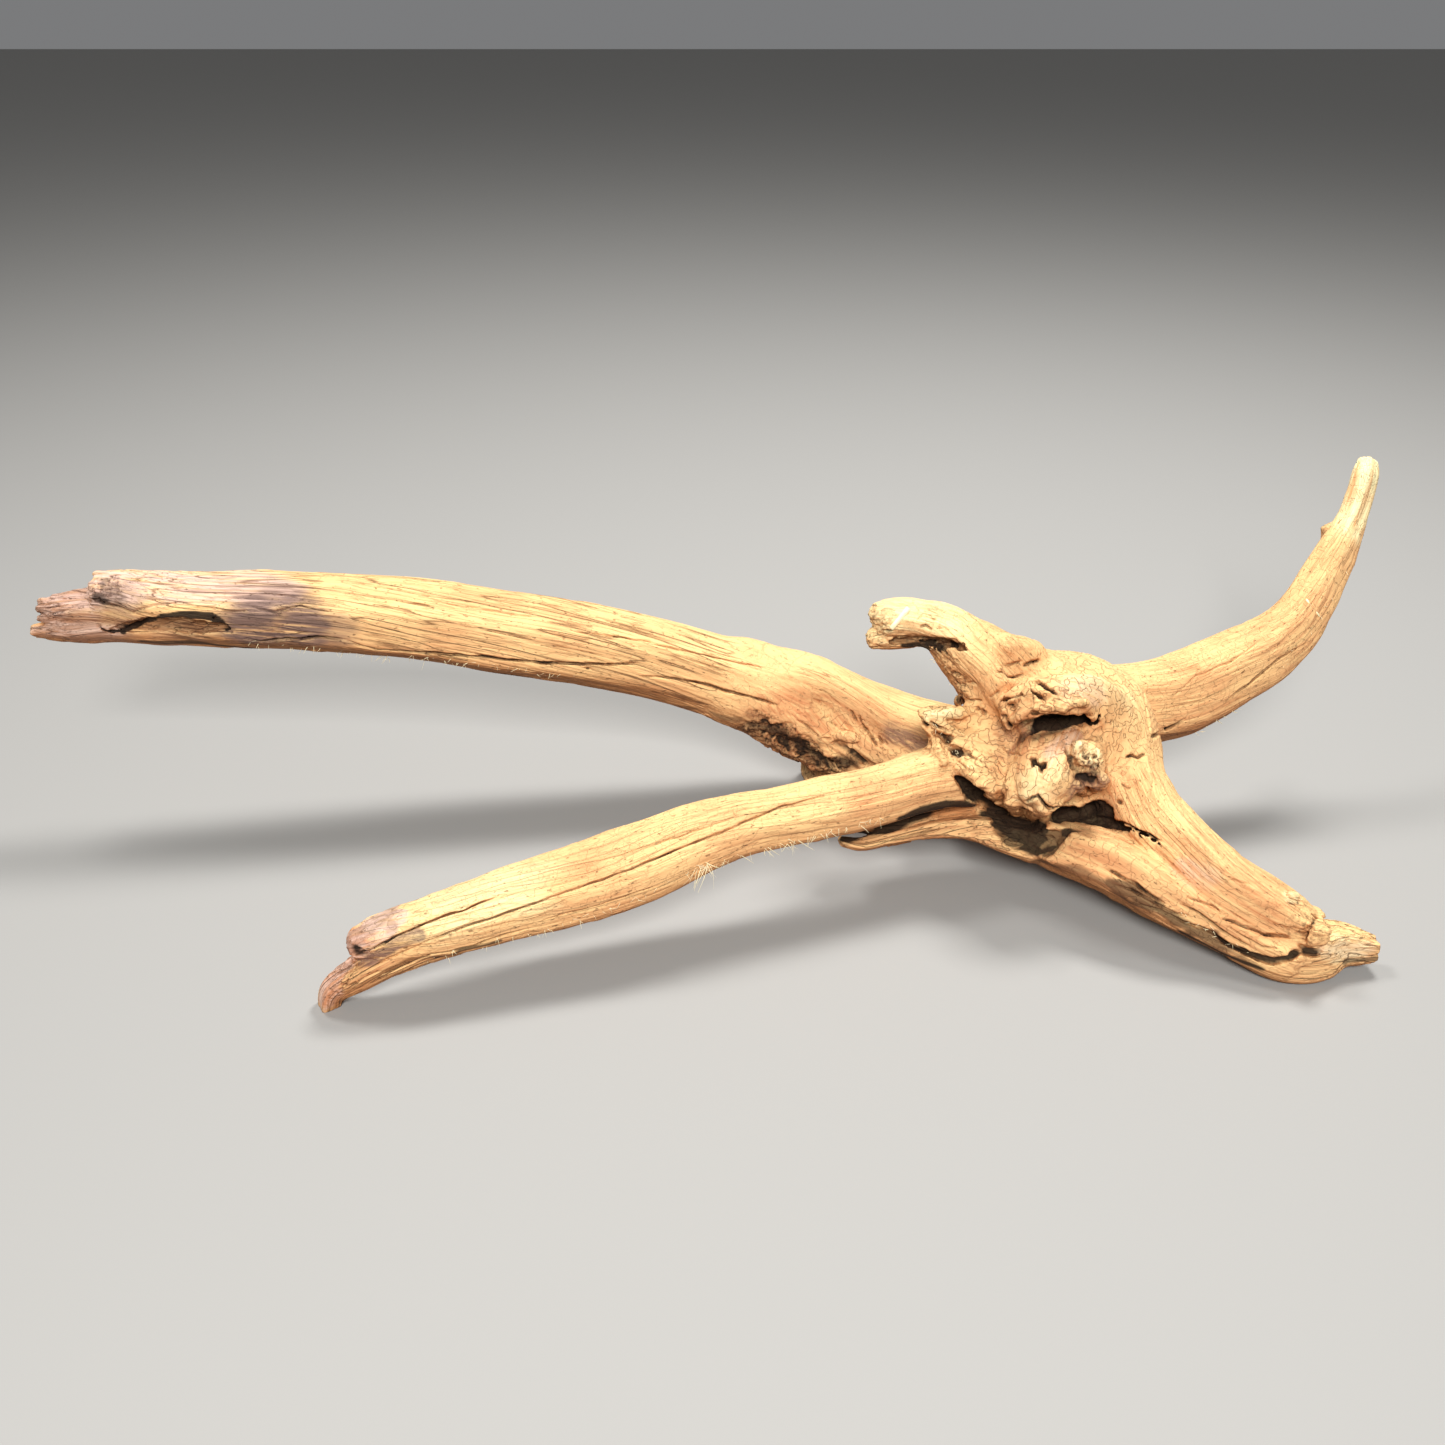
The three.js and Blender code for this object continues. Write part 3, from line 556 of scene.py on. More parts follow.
FORMS = [
    # The overhanging brow: its ragged rim, the fold that runs down from its peak, and the hollow under it.
    Form([(1034, 700), (1042, 707), (1052, 709), (1062, 708), (1072, 703), (1083, 702), (1092, 711),
          (1099, 719)], [2.2, 2.4, 2.6, 2.4, 2.2, 2.2, 1.8, 1.4], rise=0.4, blend=2.0, torn=0.8),
    Form([(1029, 692), (1025, 702), (1018, 712), (1010, 721)], [1.8, 2.2, 2.2, 1.8], rise=0.6, blend=2.0),
    # Painted shade: the pocket left of the fold and the hollow under the rim have their walls painted dark,
    # darkest under the rim.
    Form([(1003, 702), (1010, 708), (1014, 714)], [2.4, 3, 2], air=True, rise=1.2, blend=2.0, dark=0.3),
    Form([(1034, 717), (1046, 724), (1058, 724), (1070, 719), (1083, 717), (1093, 724)],
         [3.4, 5, 5, 5, 4.6, 3.0], air=True, rise=-3.0, blend=1.0, dark=1.4),
    Form([(1024, 737), (1034, 731), (1046, 728), (1057, 723)], [2.2, 3.6, 4.2, 3.6],
         air=True, rise=-1.6, blend=1.4, dark=1.4, torn=0.8),
    # The beak: a pointed lit ledge, the teeth under it, a second lobe, and the torn pocket beside that.
    Form([(923, 715), (932, 715), (944, 715), (956, 714), (968, 710)], [0.9, 1.9, 2.6, 2.6, 1.8],
         rise=1.2, blend=3.2, torn=0.9),
    # Painted shade: the gaps under the ledge and the pocket beside the lobe are painted dark.
    Form([(924, 724), (931, 730), (938, 737), (948, 739)], [1.8, 2.8, 3.2, 2.4],
         air=True, rise=0.0, blend=0.6, dark=1.5, torn=0.9),
    Form([(938, 744), (937, 752), (943, 762)], [2.2, 2.6, 2.2], rise=0.8, blend=2.0),
    Form([(948, 746), (956, 751), (968, 753)], [1.2, 2.4, 1.6], air=True, blend=0.8, dark=1.1, torn=1.0),
    # The ridge over the dark gap, from the beak to the snout.
    Form([(956, 766), (970, 773), (983, 781), (993, 787), (1004, 800)], [2, 2.6, 3.2, 3.4, 2.4],
         rise=0.2, blend=2.5, torn=0.8),
    Form([(990, 791), (1008, 802)], [3.2, 3.2], rise=0.0, blend=2.0, torn=0.6),
    # The snout's left edge and lip, and the gap to the right of it.
    Form([(1014, 770), (1012, 784), (1013, 798), (1018, 812)], [2.2, 2.6, 3, 3], rise=0.2, blend=3.0),
    Form([(1016, 810), (1030, 813), (1044, 808), (1058, 803)], [3, 3.4, 3, 2],
         rise=0.6, blend=2.5, torn=0.4),
    # Painted shade: the gap to the right of the snout is painted dark.
    Form([(1058, 816), (1072, 814), (1086, 811), (1097, 811), (1108, 814)], [2.6, 3.6, 4, 3.6, 3],
         air=True, rise=-1.0, blend=1.6, dark=1.5),
    # The deep recess under the snout, which the flap and the leg come out of.
    # Painted shade: the recess and the gap at its top are painted dark.
    Form([(1002, 824), (1014, 834), (1030, 841), (1046, 842), (1060, 834)], [3.6, 6, 6.4, 5.6, 3.6],
         air=True, rise=-0.6, blend=3.4, dark=0.75),
    Form([(1042, 823), (1052, 821), (1063, 820)], [3.2, 3.6, 3.2], air=True, rise=1.0, blend=0.8, dark=1.6),
    # The knob, the edge beside it, its hole and the ring that carries it.
    Form([(1076, 748), (1086, 751), (1094, 758), (1092, 765)], [3, 4, 3.8, 3.2],
         rise=1.2, blend=1.6, torn=1.0),
    # Painted shade: the edge beside the knob and its hole are painted dark.
    Form([(1067, 742), (1069, 754), (1073, 766)], [1.4, 1.8, 1.6], air=True, blend=1.0, dark=0.9),
    Form([(1078, 754), (1083, 759)], [3.4, 3.4], rise=0.6, blend=1.6, torn=0.8),
    Form([(1081, 779), (1089, 783), (1096, 781)], [2.8, 3.8, 2.8],
         air=True, rise=-0.6, blend=0.6, dark=1.5),
    Form([(1076, 784), (1084, 792), (1094, 790), (1101, 778)], [1.8, 2.2, 2.2, 2], rise=0.6, blend=1.5),
    # The hook's underside: ragged gaps, and the dark knot where it meets the heel.
    # Painted shade: the ragged gaps and the small gaps by the knot are painted dark.
    Form([(922, 642), (930, 643)], [1.6, 2.0], air=True, blend=0.6, dark=1.5, torn=1.0),
    Form([(938, 645), (946, 648), (953, 645), (964, 645)], [1.8, 2.8, 2.4, 1.6],
         air=True, blend=0.6, dark=1.5, torn=1.0),
    Form([(1010, 645), (1022, 648), (1034, 652)], [3.0, 4.0, 3.8], rise=0.5, blend=7.0, torn=0.2),
    Form([(954, 673), (962, 677)], [1.2, 1.0], air=True, blend=0.6, dark=1.1),
    Form([(958, 685), (966, 685), (974, 683)], [1.0, 1.4, 0.8], air=True, blend=0.6, dark=0.8),
    Form([(962, 699), (960, 701)], [2.4, 2.2], rise=0.8, blend=1.0, torn=0.3),
    # Rotten wood at the heel is sunk below the smooth branch, with a block and two black gaps in it.
    # Painted shade: the sunk rotten wood is painted darker, and its two gaps black.
    Form([(764, 733), (780, 741), (798, 749), (812, 757), (828, 764)], [3, 4.6, 5.4, 5.2, 4.2],
         air=True, rise=1.4, blend=1.2, dark=0.5, torn=1.3),
    Form([(744, 722), (760, 727), (776, 727), (790, 723)], [1, 2, 2, 1], air=True, blend=1.0, dark=0.9),
    Form([(803, 768), (807, 775)], [3.5, 5], air=True, rise=1.0, blend=2.0, dark=0.4, torn=0.9),
    Form([(838, 736), (846, 735), (853, 738)], [2.4, 3.2, 2.4], rise=0.8, blend=1.0, torn=0.5),
    Form([(828, 752), (838, 758), (846, 763)], [2, 2.4, 2], rise=0.2, blend=1.0, torn=1.2),
    Form([(834, 744), (845, 749), (855, 755), (863, 763)], [1.8, 2.6, 2.8, 2.4],
         air=True, blend=0.6, dark=1.6),
    Form([(819, 752), (824, 760), (830, 766)], [1.4, 2.2, 2.2], air=True, blend=0.8, dark=1.5),
    # The long branch's slot has a sharp black upper edge.
    # Painted shadow: the slot's upper edge is painted black.
    Form([(102, 630), (114, 632), (126, 629), (137, 624), (146, 620)], [0.7, 0.9, 1.2, 1.5, 1.6],
         air=True, rise=-0.8, blend=0.4, dark=1.6, torn=0.15),
    Form([(214, 618), (221, 623), (229, 628)], [1.4, 1.4, 0.8],
         air=True, rise=-0.6, blend=0.4, dark=1.6, torn=0.15),
    # The front branch's hole at its stub.
    # Painted shade: the hole is painted dark.
    Form([(351, 947), (356, 953), (363, 953)], [1.8, 3.0, 2.2], air=True, blend=0.6, dark=1.5),
    # The leg's end: the gap beneath the upper lobe, a chip on the back edge, and a block with its gap.
    # Painted shadow: the gap under the upper lobe and the gap under the block are painted black.
    Form([(1222, 943), (1235, 946), (1248, 953), (1262, 959), (1274, 962), (1286, 960), (1297, 952)],
         [1.2, 1.6, 1.9, 2.3, 2.6, 2.4, 1.6], air=True, rise=-0.5, blend=0.6, dark=1.6, torn=0.4),
    Form([(1290, 896), (1294, 897)], [2.6, 2.8], rise=1.0, blend=0.5, torn=0.1),
    Form([(1313, 930), (1320, 930), (1318, 939), (1311, 940)], [2.6, 2.8, 2.8, 2.6],
         rise=2.4, blend=0.5, torn=0.1),
    Form([(1301, 945), (1308, 951), (1317, 953), (1324, 946)], [1.6, 2.6, 2.6, 1.4],
         air=True, blend=0.5, dark=1.6, torn=0.4),
    # The sole's hollow upper face.
    Form([(1334, 947), (1350, 950), (1368, 952)], [3.5, 4, 3],
         air=True, rise=2.8, blend=2.0, dark=0.0, torn=0.2),
]

CRACKS = [
    # The long branch: cracks that run with its fibres.
    Crack(1.4, 2.4, [(96, 593), (102, 602), (110, 606), (120, 607), (128, 611), (134, 613)]),
    Crack(1.2, 1.4, [(132, 612), (145, 608), (160, 604), (186, 602)]),
    Crack(1.1, 1.5, [(190, 608), (202, 607), (214, 607), (224, 611), (250, 610)]),
    Crack(1.1, 1.3, [(44, 607), (60, 606), (74, 602)]),
    Crack(1.1, 1.3, [(48, 615), (62, 611), (78, 606)]),
    Crack(1.2, 1.8, [(96, 622), (103, 630), (115, 632)]),
    Crack(0.9, 0.8, [(95, 605), (98, 612), (102, 621)]),
    Crack(2.0, 3.0, [(245, 638), (262, 641), (290, 640), (318, 637), (345, 640)]),
    Crack(1.6, 2.8, [(345, 640), (376, 650), (430, 653), (484, 657), (540, 663), (600, 664), (640, 664)]),
    Crack(1.3, 1.3, [(250, 606), (275, 612), (300, 606), (330, 612)]),
    Crack(1.1, 1.0, [(255, 592), (290, 596), (320, 604)]),
    Crack(1.1, 1.6, [(575, 632), (640, 640), (710, 656), (780, 671)]),
    Crack(1.5, 2.6, [(640, 677), (662, 677), (682, 680), (702, 683), (716, 687), (740, 694), (780, 706)]),
    Crack(0.9, 1.0, [(800, 682), (824, 692), (842, 706)]),
    Crack(0.9, 0.7, [(608, 638), (607, 659)]),
    Crack(0.9, 0.8, [(420, 600), (500, 612), (560, 622)]),
    # The heel: short slashes across it, and marks over the rotten wood.
    Crack(1.5, 2.4, [(851, 711), (857, 722)]),
    Crack(1.2, 2.0, [(859, 716), (862, 724)]),
    Crack(1.4, 2.4, [(862, 723), (867, 733)]),
    Crack(1.3, 2.2, [(866, 728), (872, 738)]),
    Crack(1.7, 2.6, [(871, 735), (878, 747)]),
    Crack(1.4, 2.2, [(879, 736), (883, 744)]),
    Crack(1.1, 1.6, [(884, 740), (888, 745)]),
    Crack(1.1, 1.6, [(821, 719), (830, 716)]),
    Crack(1.4, 2.0, [(829, 721), (837, 727)]),
    Crack(1.2, 1.6, [(820, 738), (832, 741)]),
    Crack(1.2, 2.0, [(797, 719), (806, 725), (813, 732), (819, 736)]),
    # The front branch: two cracks run up from the hole at its tip, and two more under them.
    Crack(1.1, 2.8,
          [(360, 953), (372, 949), (386, 942), (400, 935), (416, 928), (440, 918), (462, 910), (497, 897)]),
    Crack(1.1, 2.2, [(374, 965), (400, 953), (430, 940), (450, 932), (462, 928), (497, 916), (531, 904),
                     (560, 894), (632, 868), (710, 837), (784, 806), (830, 794)]),
    Crack(1.4, 2.4, [(380, 976), (393, 971), (412, 963), (432, 955), (469, 947), (505, 935), (522, 931)]),
    Crack(1.0, 1.4, [(350, 987), (364, 979), (380, 971)]),
    Crack(1.0, 1.2, [(360, 960), (353, 972), (345, 986), (336, 998)]),
    Crack(1.0, 1.2, [(540, 922), (600, 905), (660, 884)]),
    Crack(0.9, 0.8, [(600, 862), (680, 836), (740, 816)]),
    Crack(1.3, 2.0, [(966, 821), (978, 828)]),
    # The right leg.
    Crack(1.6, 2.4, [(1084, 816), (1122, 822), (1164, 842)]),
    Crack(1.0, 0.8, [(1167, 842), (1163, 862), (1159, 881)]),
    Crack(1.9, 3.0,
          [(1222, 918), (1235, 922), (1247, 928), (1257, 931), (1265, 934), (1280, 935), (1291, 937)]),
    Crack(1.2, 1.6, [(1186, 897), (1200, 902), (1212, 905), (1221, 911)]),
    Crack(1.8, 2.4, [(1104, 868), (1120, 876), (1136, 884), (1150, 896), (1166, 905)]),
    Crack(1.6, 2.4, [(1112, 884), (1132, 890), (1150, 900), (1172, 912), (1190, 916)]),
    Crack(1.6, 2.2, [(1140, 904), (1160, 910), (1182, 922), (1204, 930)]),
    Crack(1.6, 2.4, [(1180, 904), (1200, 914), (1216, 926), (1232, 938), (1250, 946)]),
    Crack(1.8, 2.6, [(1196, 925), (1214, 934), (1230, 946), (1250, 955)]),
    Crack(1.2, 1.6, [(1226, 926), (1242, 936), (1262, 946), (1280, 950)]),
    Crack(0.9, 0.9, [(1230, 878), (1240, 882), (1250, 885)]),
    Crack(1.2, 2.2, [(1304, 931), (1311, 926), (1317, 918), (1312, 913)]),
    Crack(1.2, 1.8, [(1288, 902), (1297, 905)]),
    Crack(1.4, 0.8, [(1326, 935), (1345, 938), (1360, 943), (1374, 946)]),
    # The horn.
    Crack(2.4, 3.8, [(1151, 737), (1168, 729), (1185, 719)]),
    Crack(1.5, 2.0, [(1226, 701), (1256, 678), (1281, 657), (1310, 642)]),
    Crack(1.0, 0.9, [(1170, 700), (1196, 676), (1230, 662), (1262, 640)]),
    # The crown: cracks over the brow, the pockets on it, the line round the snout, and its split lip.
    Crack(1.2, 1.8, [(1003, 665), (1012, 664), (1022, 662)]),
    Crack(1.6, 2.6, [(1023, 667), (1032, 662), (1041, 660)]),
    Crack(1.4, 2.4, [(996, 672), (1003, 672), (1008, 677), (1015, 677), (1026, 673)]),
    Crack(1.2, 1.6, [(989, 698), (998, 692), (1011, 689)]),
    Crack(1.6, 2.4, [(999, 701), (1010, 698), (1023, 694)]),
    Crack(2.0, 3.0, [(1033, 681), (1042, 684), (1050, 690), (1058, 695)]),
    Crack(2.0, 3.0, [(1030, 690), (1038, 695), (1046, 700)]),
    Crack(1.2, 1.4, [(1003, 745), (1010, 752), (1020, 755), (1035, 749), (1048, 746), (1063, 741)]),
    Crack(1.2, 1.4, [(1065, 733), (1076, 729)]),
    Crack(2.2, 4.0, [(1030, 757), (1035, 763), (1046, 768)]),
    Crack(1.8, 3.4,
          [(1025, 803), (1032, 798), (1038, 796), (1044, 803), (1050, 808), (1057, 808), (1065, 803)]),
    Crack(1.8, 2.8, [(1125, 757), (1132, 755), (1138, 758), (1146, 753)]),
    Crack(1.4, 1.4, [(1135, 678), (1146, 705), (1151, 740)]),
    Crack(1.4, 2.2, [(1122, 783), (1126, 788), (1131, 787)]),
    # The beak and the cheek.
    Crack(1.4, 2.2, [(930, 722), (938, 727), (951, 733)]),
    Crack(1.2, 1.6, [(950, 730), (958, 734), (966, 738)]),
    Crack(1.6, 2.4, [(968, 754), (978, 761)]),
    Crack(1.5, 2.2, [(956, 759), (968, 769)]),
    Crack(1.1, 1.4, [(980, 750), (990, 752), (996, 757)]),
    Crack(1.1, 1.4, [(984, 765), (994, 771)]),
    Crack(1.1, 1.4, [(965, 700), (982, 701)]),
    # The hook.
    Crack(0.9, 0.9, [(918, 620), (922, 616), (927, 613)]),
    Crack(1.4, 1.8, [(920, 627), (926, 625), (932, 629)]),
    Crack(0.9, 0.9, [(880, 617), (886, 621)]),
    Crack(1.1, 1.6, [(959, 651), (969, 650)]),
    Crack(1.0, 1.4, [(956, 659), (959, 663)]),
]
PITS = [
    Pit(1.5, 2.8, [(1004, 717)]),
    Pit(2.0, 3.4, [(1008, 725)]),
    Pit(1.3, 2.4, [(1011, 706)]),
    Pit(0.9, 1.6, [(588, 669)]),
    Pit(1.2, 2.0, [(1119, 802)]),
    Pit(1.4, 3.4, [(1034, 761)]),
    Pit(1.6, 3.6, [(1042, 766)]),
    Pit(1.1, 2.0, [(984, 712)]),
    Pit(0.9, 1.4, [(979, 709)]),
    Pit(1.7, 2.6, [(960, 700)]),
    Pit(1.0, 1.6, [(889, 631)]),
    Pit(0.8, 1.0, [(934, 619)]),
    Pit(0.8, 1.0, [(941, 627)]),
    Pit(0.8, 1.0, [(947, 628)]),
]
CRUMBLING = [
    Zone(15, 0.35, [(880, 625)]),
    Zone(9, 0.6, [(920, 644), (946, 660), (962, 690)]),
    Zone(12, 0.35, [(940, 745), (975, 765)]),
    Zone(9, 0.5, [(1040, 705), (1080, 700)]),
    Zone(11, 0.9, [(1086, 765)]),
    Zone(8, 0.5, [(1030, 735)]),
    Zone(13, 1.0, [(764, 732), (795, 745), (825, 765)], sharpness=3.0),
    Zone(7, 0.8, [(846, 758)]),
    Zone(12, 0.5, [(48, 612)]),
    Zone(10, 0.8, [(105, 588)]),
    Zone(13, 0.5, [(1308, 928)]),
    Zone(14, 0.5, [(345, 970)]),
]
STAINED = [
    Zone(22, 1.0, [(300, 624)]),
    Zone(22, 1.0, [(255, 622)]),
    Zone(16, 0.8, [(275, 600)]),
    Zone(14, 0.6, [(340, 632)]),
    Zone(18, 0.5, [(120, 610)]),
    Zone(24, 0.45, [(60, 615)]),
    Zone(20, 0.45, [(110, 625)]),
    Zone(20, 0.35, [(180, 636)]),
    Zone(6, 0.5, [(350, 945), (356, 934), (372, 924), (388, 912)], sharpness=3.0),
    Zone(3, 0.5, [(392, 908), (392, 930)], sharpness=3.0),
    Zone(3.4, 0.8, [(362, 961), (380, 954), (400, 943), (418, 935)], sharpness=3.0),
    Zone(3, 0.35, [(145, 628), (190, 626), (222, 629)]),
    Zone(8, 0.75, [(892, 734), (908, 738), (925, 744)]),
    Zone(16, 0.35, [(1018, 735)]),
    Zone(14, 0.6, [(1086, 785)]),
]
REDDENED = [
    Zone(34, 0.8, [(800, 735)]),
    Zone(34, 0.6, [(870, 715)]),
    Zone(30, 0.6, [(1190, 875)]),
    Zone(30, 0.5, [(1240, 905)]),
    Zone(34, 0.5, [(1300, 620)]),
    Zone(34, 0.5, [(1180, 710)]),
    Zone(30, 0.7, [(1040, 735)]),
    Zone(26, 0.6, [(1120, 800)]),
    Zone(40, 0.6, [(940, 835)]),
    Zone(14, 0.5, [(870, 800), (930, 790)]),
    Zone(36, 0.6, [(1080, 855)]),
    Zone(30, 0.5, [(60, 620)]),
    Zone(26, 0.3, [(600, 905)]),
    Zone(26, 0.8, [(345, 965)], sharpness=3.0),
]
BLEACHED = [
    Zone(26, 1.0, [(1367, 470)]),
    Zone(20, 0.9, [(1358, 510)]),
    Zone(22, 0.45, [(890, 612), (940, 618)]),
    Zone(4, 0.9, [(1290, 896), (1295, 897)]),
    Zone(8, 0.5, [(1330, 952), (1360, 950)]),
    Zone(9, 0.25, [(1078, 678), (1112, 688), (1130, 700)]),
    Zone(6, 0.6, [(930, 716), (956, 715)]),
    Zone(7, 0.7, [(1078, 748), (1092, 756)]),
    Zone(22, 0.4, [(440, 905), (520, 880)]),
    # Painted highlight: the lit left side of the snout.
    Zone(14, 0.4, [(1030, 790), (1045, 775)]),
]
SILVERED = [
    Zone(14, 1.0, [(50, 602), (90, 600)]),
    Zone(10, 0.9, [(42, 631), (80, 632), (112, 636)]),
    Zone(18, 1.0, [(100, 582), (150, 580), (215, 582), (270, 588)]),
    Zone(9, 0.95, [(352, 944), (370, 930), (386, 917)], sharpness=6.0),
    Zone(7, 0.95, [(322, 1000), (332, 982), (346, 963)], sharpness=3.0),
    Zone(6, 0.35, [(1326, 950), (1350, 950), (1368, 950)]),
    # Painted highlight: the pale streak on the snout's lit top.
    Zone(6, 0.6, [(1048, 752), (1062, 742), (1078, 734)]),
    Zone(8, 0.5, [(1185, 868), (1206, 876)]),
    Zone(9, 0.4, [(1070, 690), (1095, 690)]),
]
# Painted shade and shadow: dark patches laid where shade falls, under rims and ledges, in gaps and along
# lower edges.
PAINTED_SHADE_ZONES = [
    Zone(2.4, 1.0, [(124, 630), (136, 625), (147, 619), (162, 616), (180, 615), (196, 615), (211, 616),
                    (220, 622), (229, 628)], sharpness=3.0),
    Zone(6, 0.55, [(748, 733), (774, 747), (800, 763)]),
    Zone(6, 0.5, [(806, 772), (822, 772)]),
    Zone(5, 0.7, [(1020, 738), (1036, 739), (1052, 733), (1068, 726)], sharpness=1.0),
    Zone(3.4, 0.7, [(1074, 769), (1082, 774), (1093, 774)]),
    Zone(3.2, 0.95, [(906, 645), (914, 645), (926, 648)], sharpness=1.8),
    Zone(3.8, 0.95, [(959, 699)]),
    Zone(4.4, 0.9, [(958, 781), (970, 787), (986, 798), (1004, 812)]),
    Zone(7, 1.0, [(1006, 822), (1018, 836), (1034, 844), (1052, 842), (1066, 834)], sharpness=1.2,
         ragged=0.9),
    Zone(4, 0.6, [(1036, 862), (1060, 866), (1084, 873), (1106, 884)]),
    Zone(3.4, 0.95, [(900, 819), (922, 811), (945, 804), (968, 806), (990, 815), (1012, 820)],
         sharpness=2.0),
    Zone(4, 0.9, [(1020, 822), (1060, 820), (1100, 820)]),
    Zone(4.5, 1.0, [(846, 838), (866, 834), (886, 828), (906, 820), (924, 813), (940, 808)]),
    Zone(10, 0.85, [(752, 724), (776, 731), (800, 744), (822, 758), (848, 763)], sharpness=1.0),
    Zone(4, 0.8, [(98, 598), (104, 602)]),
    Zone(5, 0.45, [(108, 592), (120, 600)]),
    Zone(2, 0.8, [(140, 641), (170, 642), (200, 643), (230, 646), (258, 649)]),
    Zone(2.4, 0.7, [(1345, 962), (1360, 960), (1377, 959)]),
    Zone(5.5, 0.75, [(1108, 880), (1140, 898), (1180, 921), (1222, 944), (1256, 960)], sharpness=1.2,
         ragged=0.9),
    Zone(2.6, 0.9, [(1180, 932), (1222, 953), (1262, 969)]),
    Zone(1.8, 0.8, [(436, 958), (462, 950), (500, 941)]),
    Zone(3, 0.6, [(400, 664), (480, 672), (580, 688), (660, 706), (740, 720)]),
]
ZONES = {"crumbling": CRUMBLING, "stained": STAINED, "reddened": REDDENED, "bleached": BLEACHED,
         "silvered": SILVERED, "painted_shade": PAINTED_SHADE_ZONES}

TUFTS = [
    Tuft(16, (4, 10), 1.0, [(694, 868), (710, 863)]),
    Tuft(26, (1.5, 5), 0.8, [(716, 862), (760, 850), (800, 838)]),
    Tuft(30, (1.5, 4.5), 0.8, [(800, 838), (840, 828), (880, 818)]),
    Tuft(22, (0.8, 2.6), 0.5, [(420, 962), (470, 948), (520, 936), (560, 926)]),
    Tuft(22, (1, 3), 0.6, [(560, 926), (620, 905), (690, 872)]),
    Tuft(22, (1, 3), 0.5, [(250, 642), (330, 650), (380, 656)]),
    Tuft(6, (2, 4.5), 0.5, [(382, 656), (390, 657)]),
    Tuft(34, (1, 2.8), 0.4, [(400, 656), (480, 664), (580, 676)]),
    Tuft(4, (1, 2), -0.6, [(1284, 893), (1300, 900)]),
    Tuft(20, (0.8, 2.4), 0.3, [(1180, 912), (1220, 936), (1262, 958)]),
    Tuft(6, (0.5, 1.4), 0.4, [(932, 658), (952, 684)]),
    Tuft(26, (0.8, 2.2), 0.2, [(1196, 734), (1260, 694), (1312, 634), (1350, 560)]),
    Tuft(18, (0.8, 2.4), 0.5, [(930, 722), (950, 745), (975, 768)]),
]
SPLINTERS = [
    Splinter(3.2, [(908, 609), (891, 628)]),
    Splinter(1.2, [(1306, 600), (1318, 616)]),
]
FIBRE_WIDTH = 0.3
FIBRE_RINGS = 5
# How deep in the wood a fibre starts, in mm, and how far from its row, in pixels.
FIBRE_ROOT = 0.5
FIBRE_SCATTER = 1.5
# What share of its width is left at a fibre's and at a splinter's tip.
FIBRE_TIP = 0.25
SPLINTER_TIP = 0.85
# How far the two ends of a splinter's middle line stand out of the wood, in mm.
SPLINTER_RISE = np.array([[0.5], [0.9]])


def pixel_rays(pixels):
    """The way that each pixel of the photograph looks, in the part's frame."""
    centred = np.array(pixels, dtype=float).T - IMAGE_SIDE / 2
    across, down = centred * CAMERA_SENSOR / (CAMERA_LENS * IMAGE_SIDE)
    forward = math.cos(CAMERA_TILT) - down * math.sin(CAMERA_TILT)
    upward = -math.sin(CAMERA_TILT) - down * math.cos(CAMERA_TILT)
    return unit(np.stack([across, forward, upward], axis=1))


def beside_stretch(points, start, end):
    """What share of a straight stretch lies before each point, and the way to the point from that place."""
    stretch = end - start
    share = np.clip((points - start) @ stretch / (stretch @ stretch + 1e-9), 0.0, 1.0)
    return share, points - start - share[:, None] * stretch


def beside_line(points, line):
    """How far each point lies from a chain of places."""
    least = np.linalg.norm(points - line[0], axis=1)
    for start, end in zip(line[:-1], line[1:]):
        least = np.minimum(least, np.linalg.norm(beside_stretch(points, start, end)[1], axis=1))
    return least


def smooth_least(first, second, blend):
    """The smaller of two distances, with a round fillet as wide as blend, and the second one's share."""
    share = np.clip(0.5 + 0.5 * (first - second) / blend, 0.0, 1.0)
    return first + (second - first) * share - blend * share * (1 - share), share


def beyond_fork(points, limb):
    """How far out past its fork's plane each point lies, along the limb's way, in mm."""
    fork = FORKS[limb]
    return (points - np.array(fork["at"])) @ unit(np.array(fork["out"], dtype=float))


class Carving:
    """A form on the wood: a chain of balls along its line, joined by cones."""

    def __init__(self, form, places, ways):
        self.form = form
        self.line = places + form.rise * ways
        self.sizes = np.array(form.sizes, dtype=float)
        self.low = (self.line - self.sizes[:, None]).min(axis=0)
        self.high = (self.line + self.sizes[:, None]).max(axis=0)

    def field(self, points):
        """Signed distance to the chain: from each point to its nearest place on each cone's middle line."""
        least = np.full(len(points), FAR)
        for i in range(len(self.line) - 1):
            share, away = beside_stretch(points, self.line[i], self.line[i + 1])
            size = self.sizes[i] + share * (self.sizes[i + 1] - self.sizes[i])
            least = np.minimum(least, np.linalg.norm(away, axis=1) - size)
        return least


def dealt(marks, *tables):
    """Each mark with its own rows of the tables, which hold one row for each of the marks' pixels in turn."""
    used = 0
    for mark in marks:
        rows = slice(used, used + len(mark.pixels))
        used = rows.stop
        yield mark, *[table[rows] for table in tables]


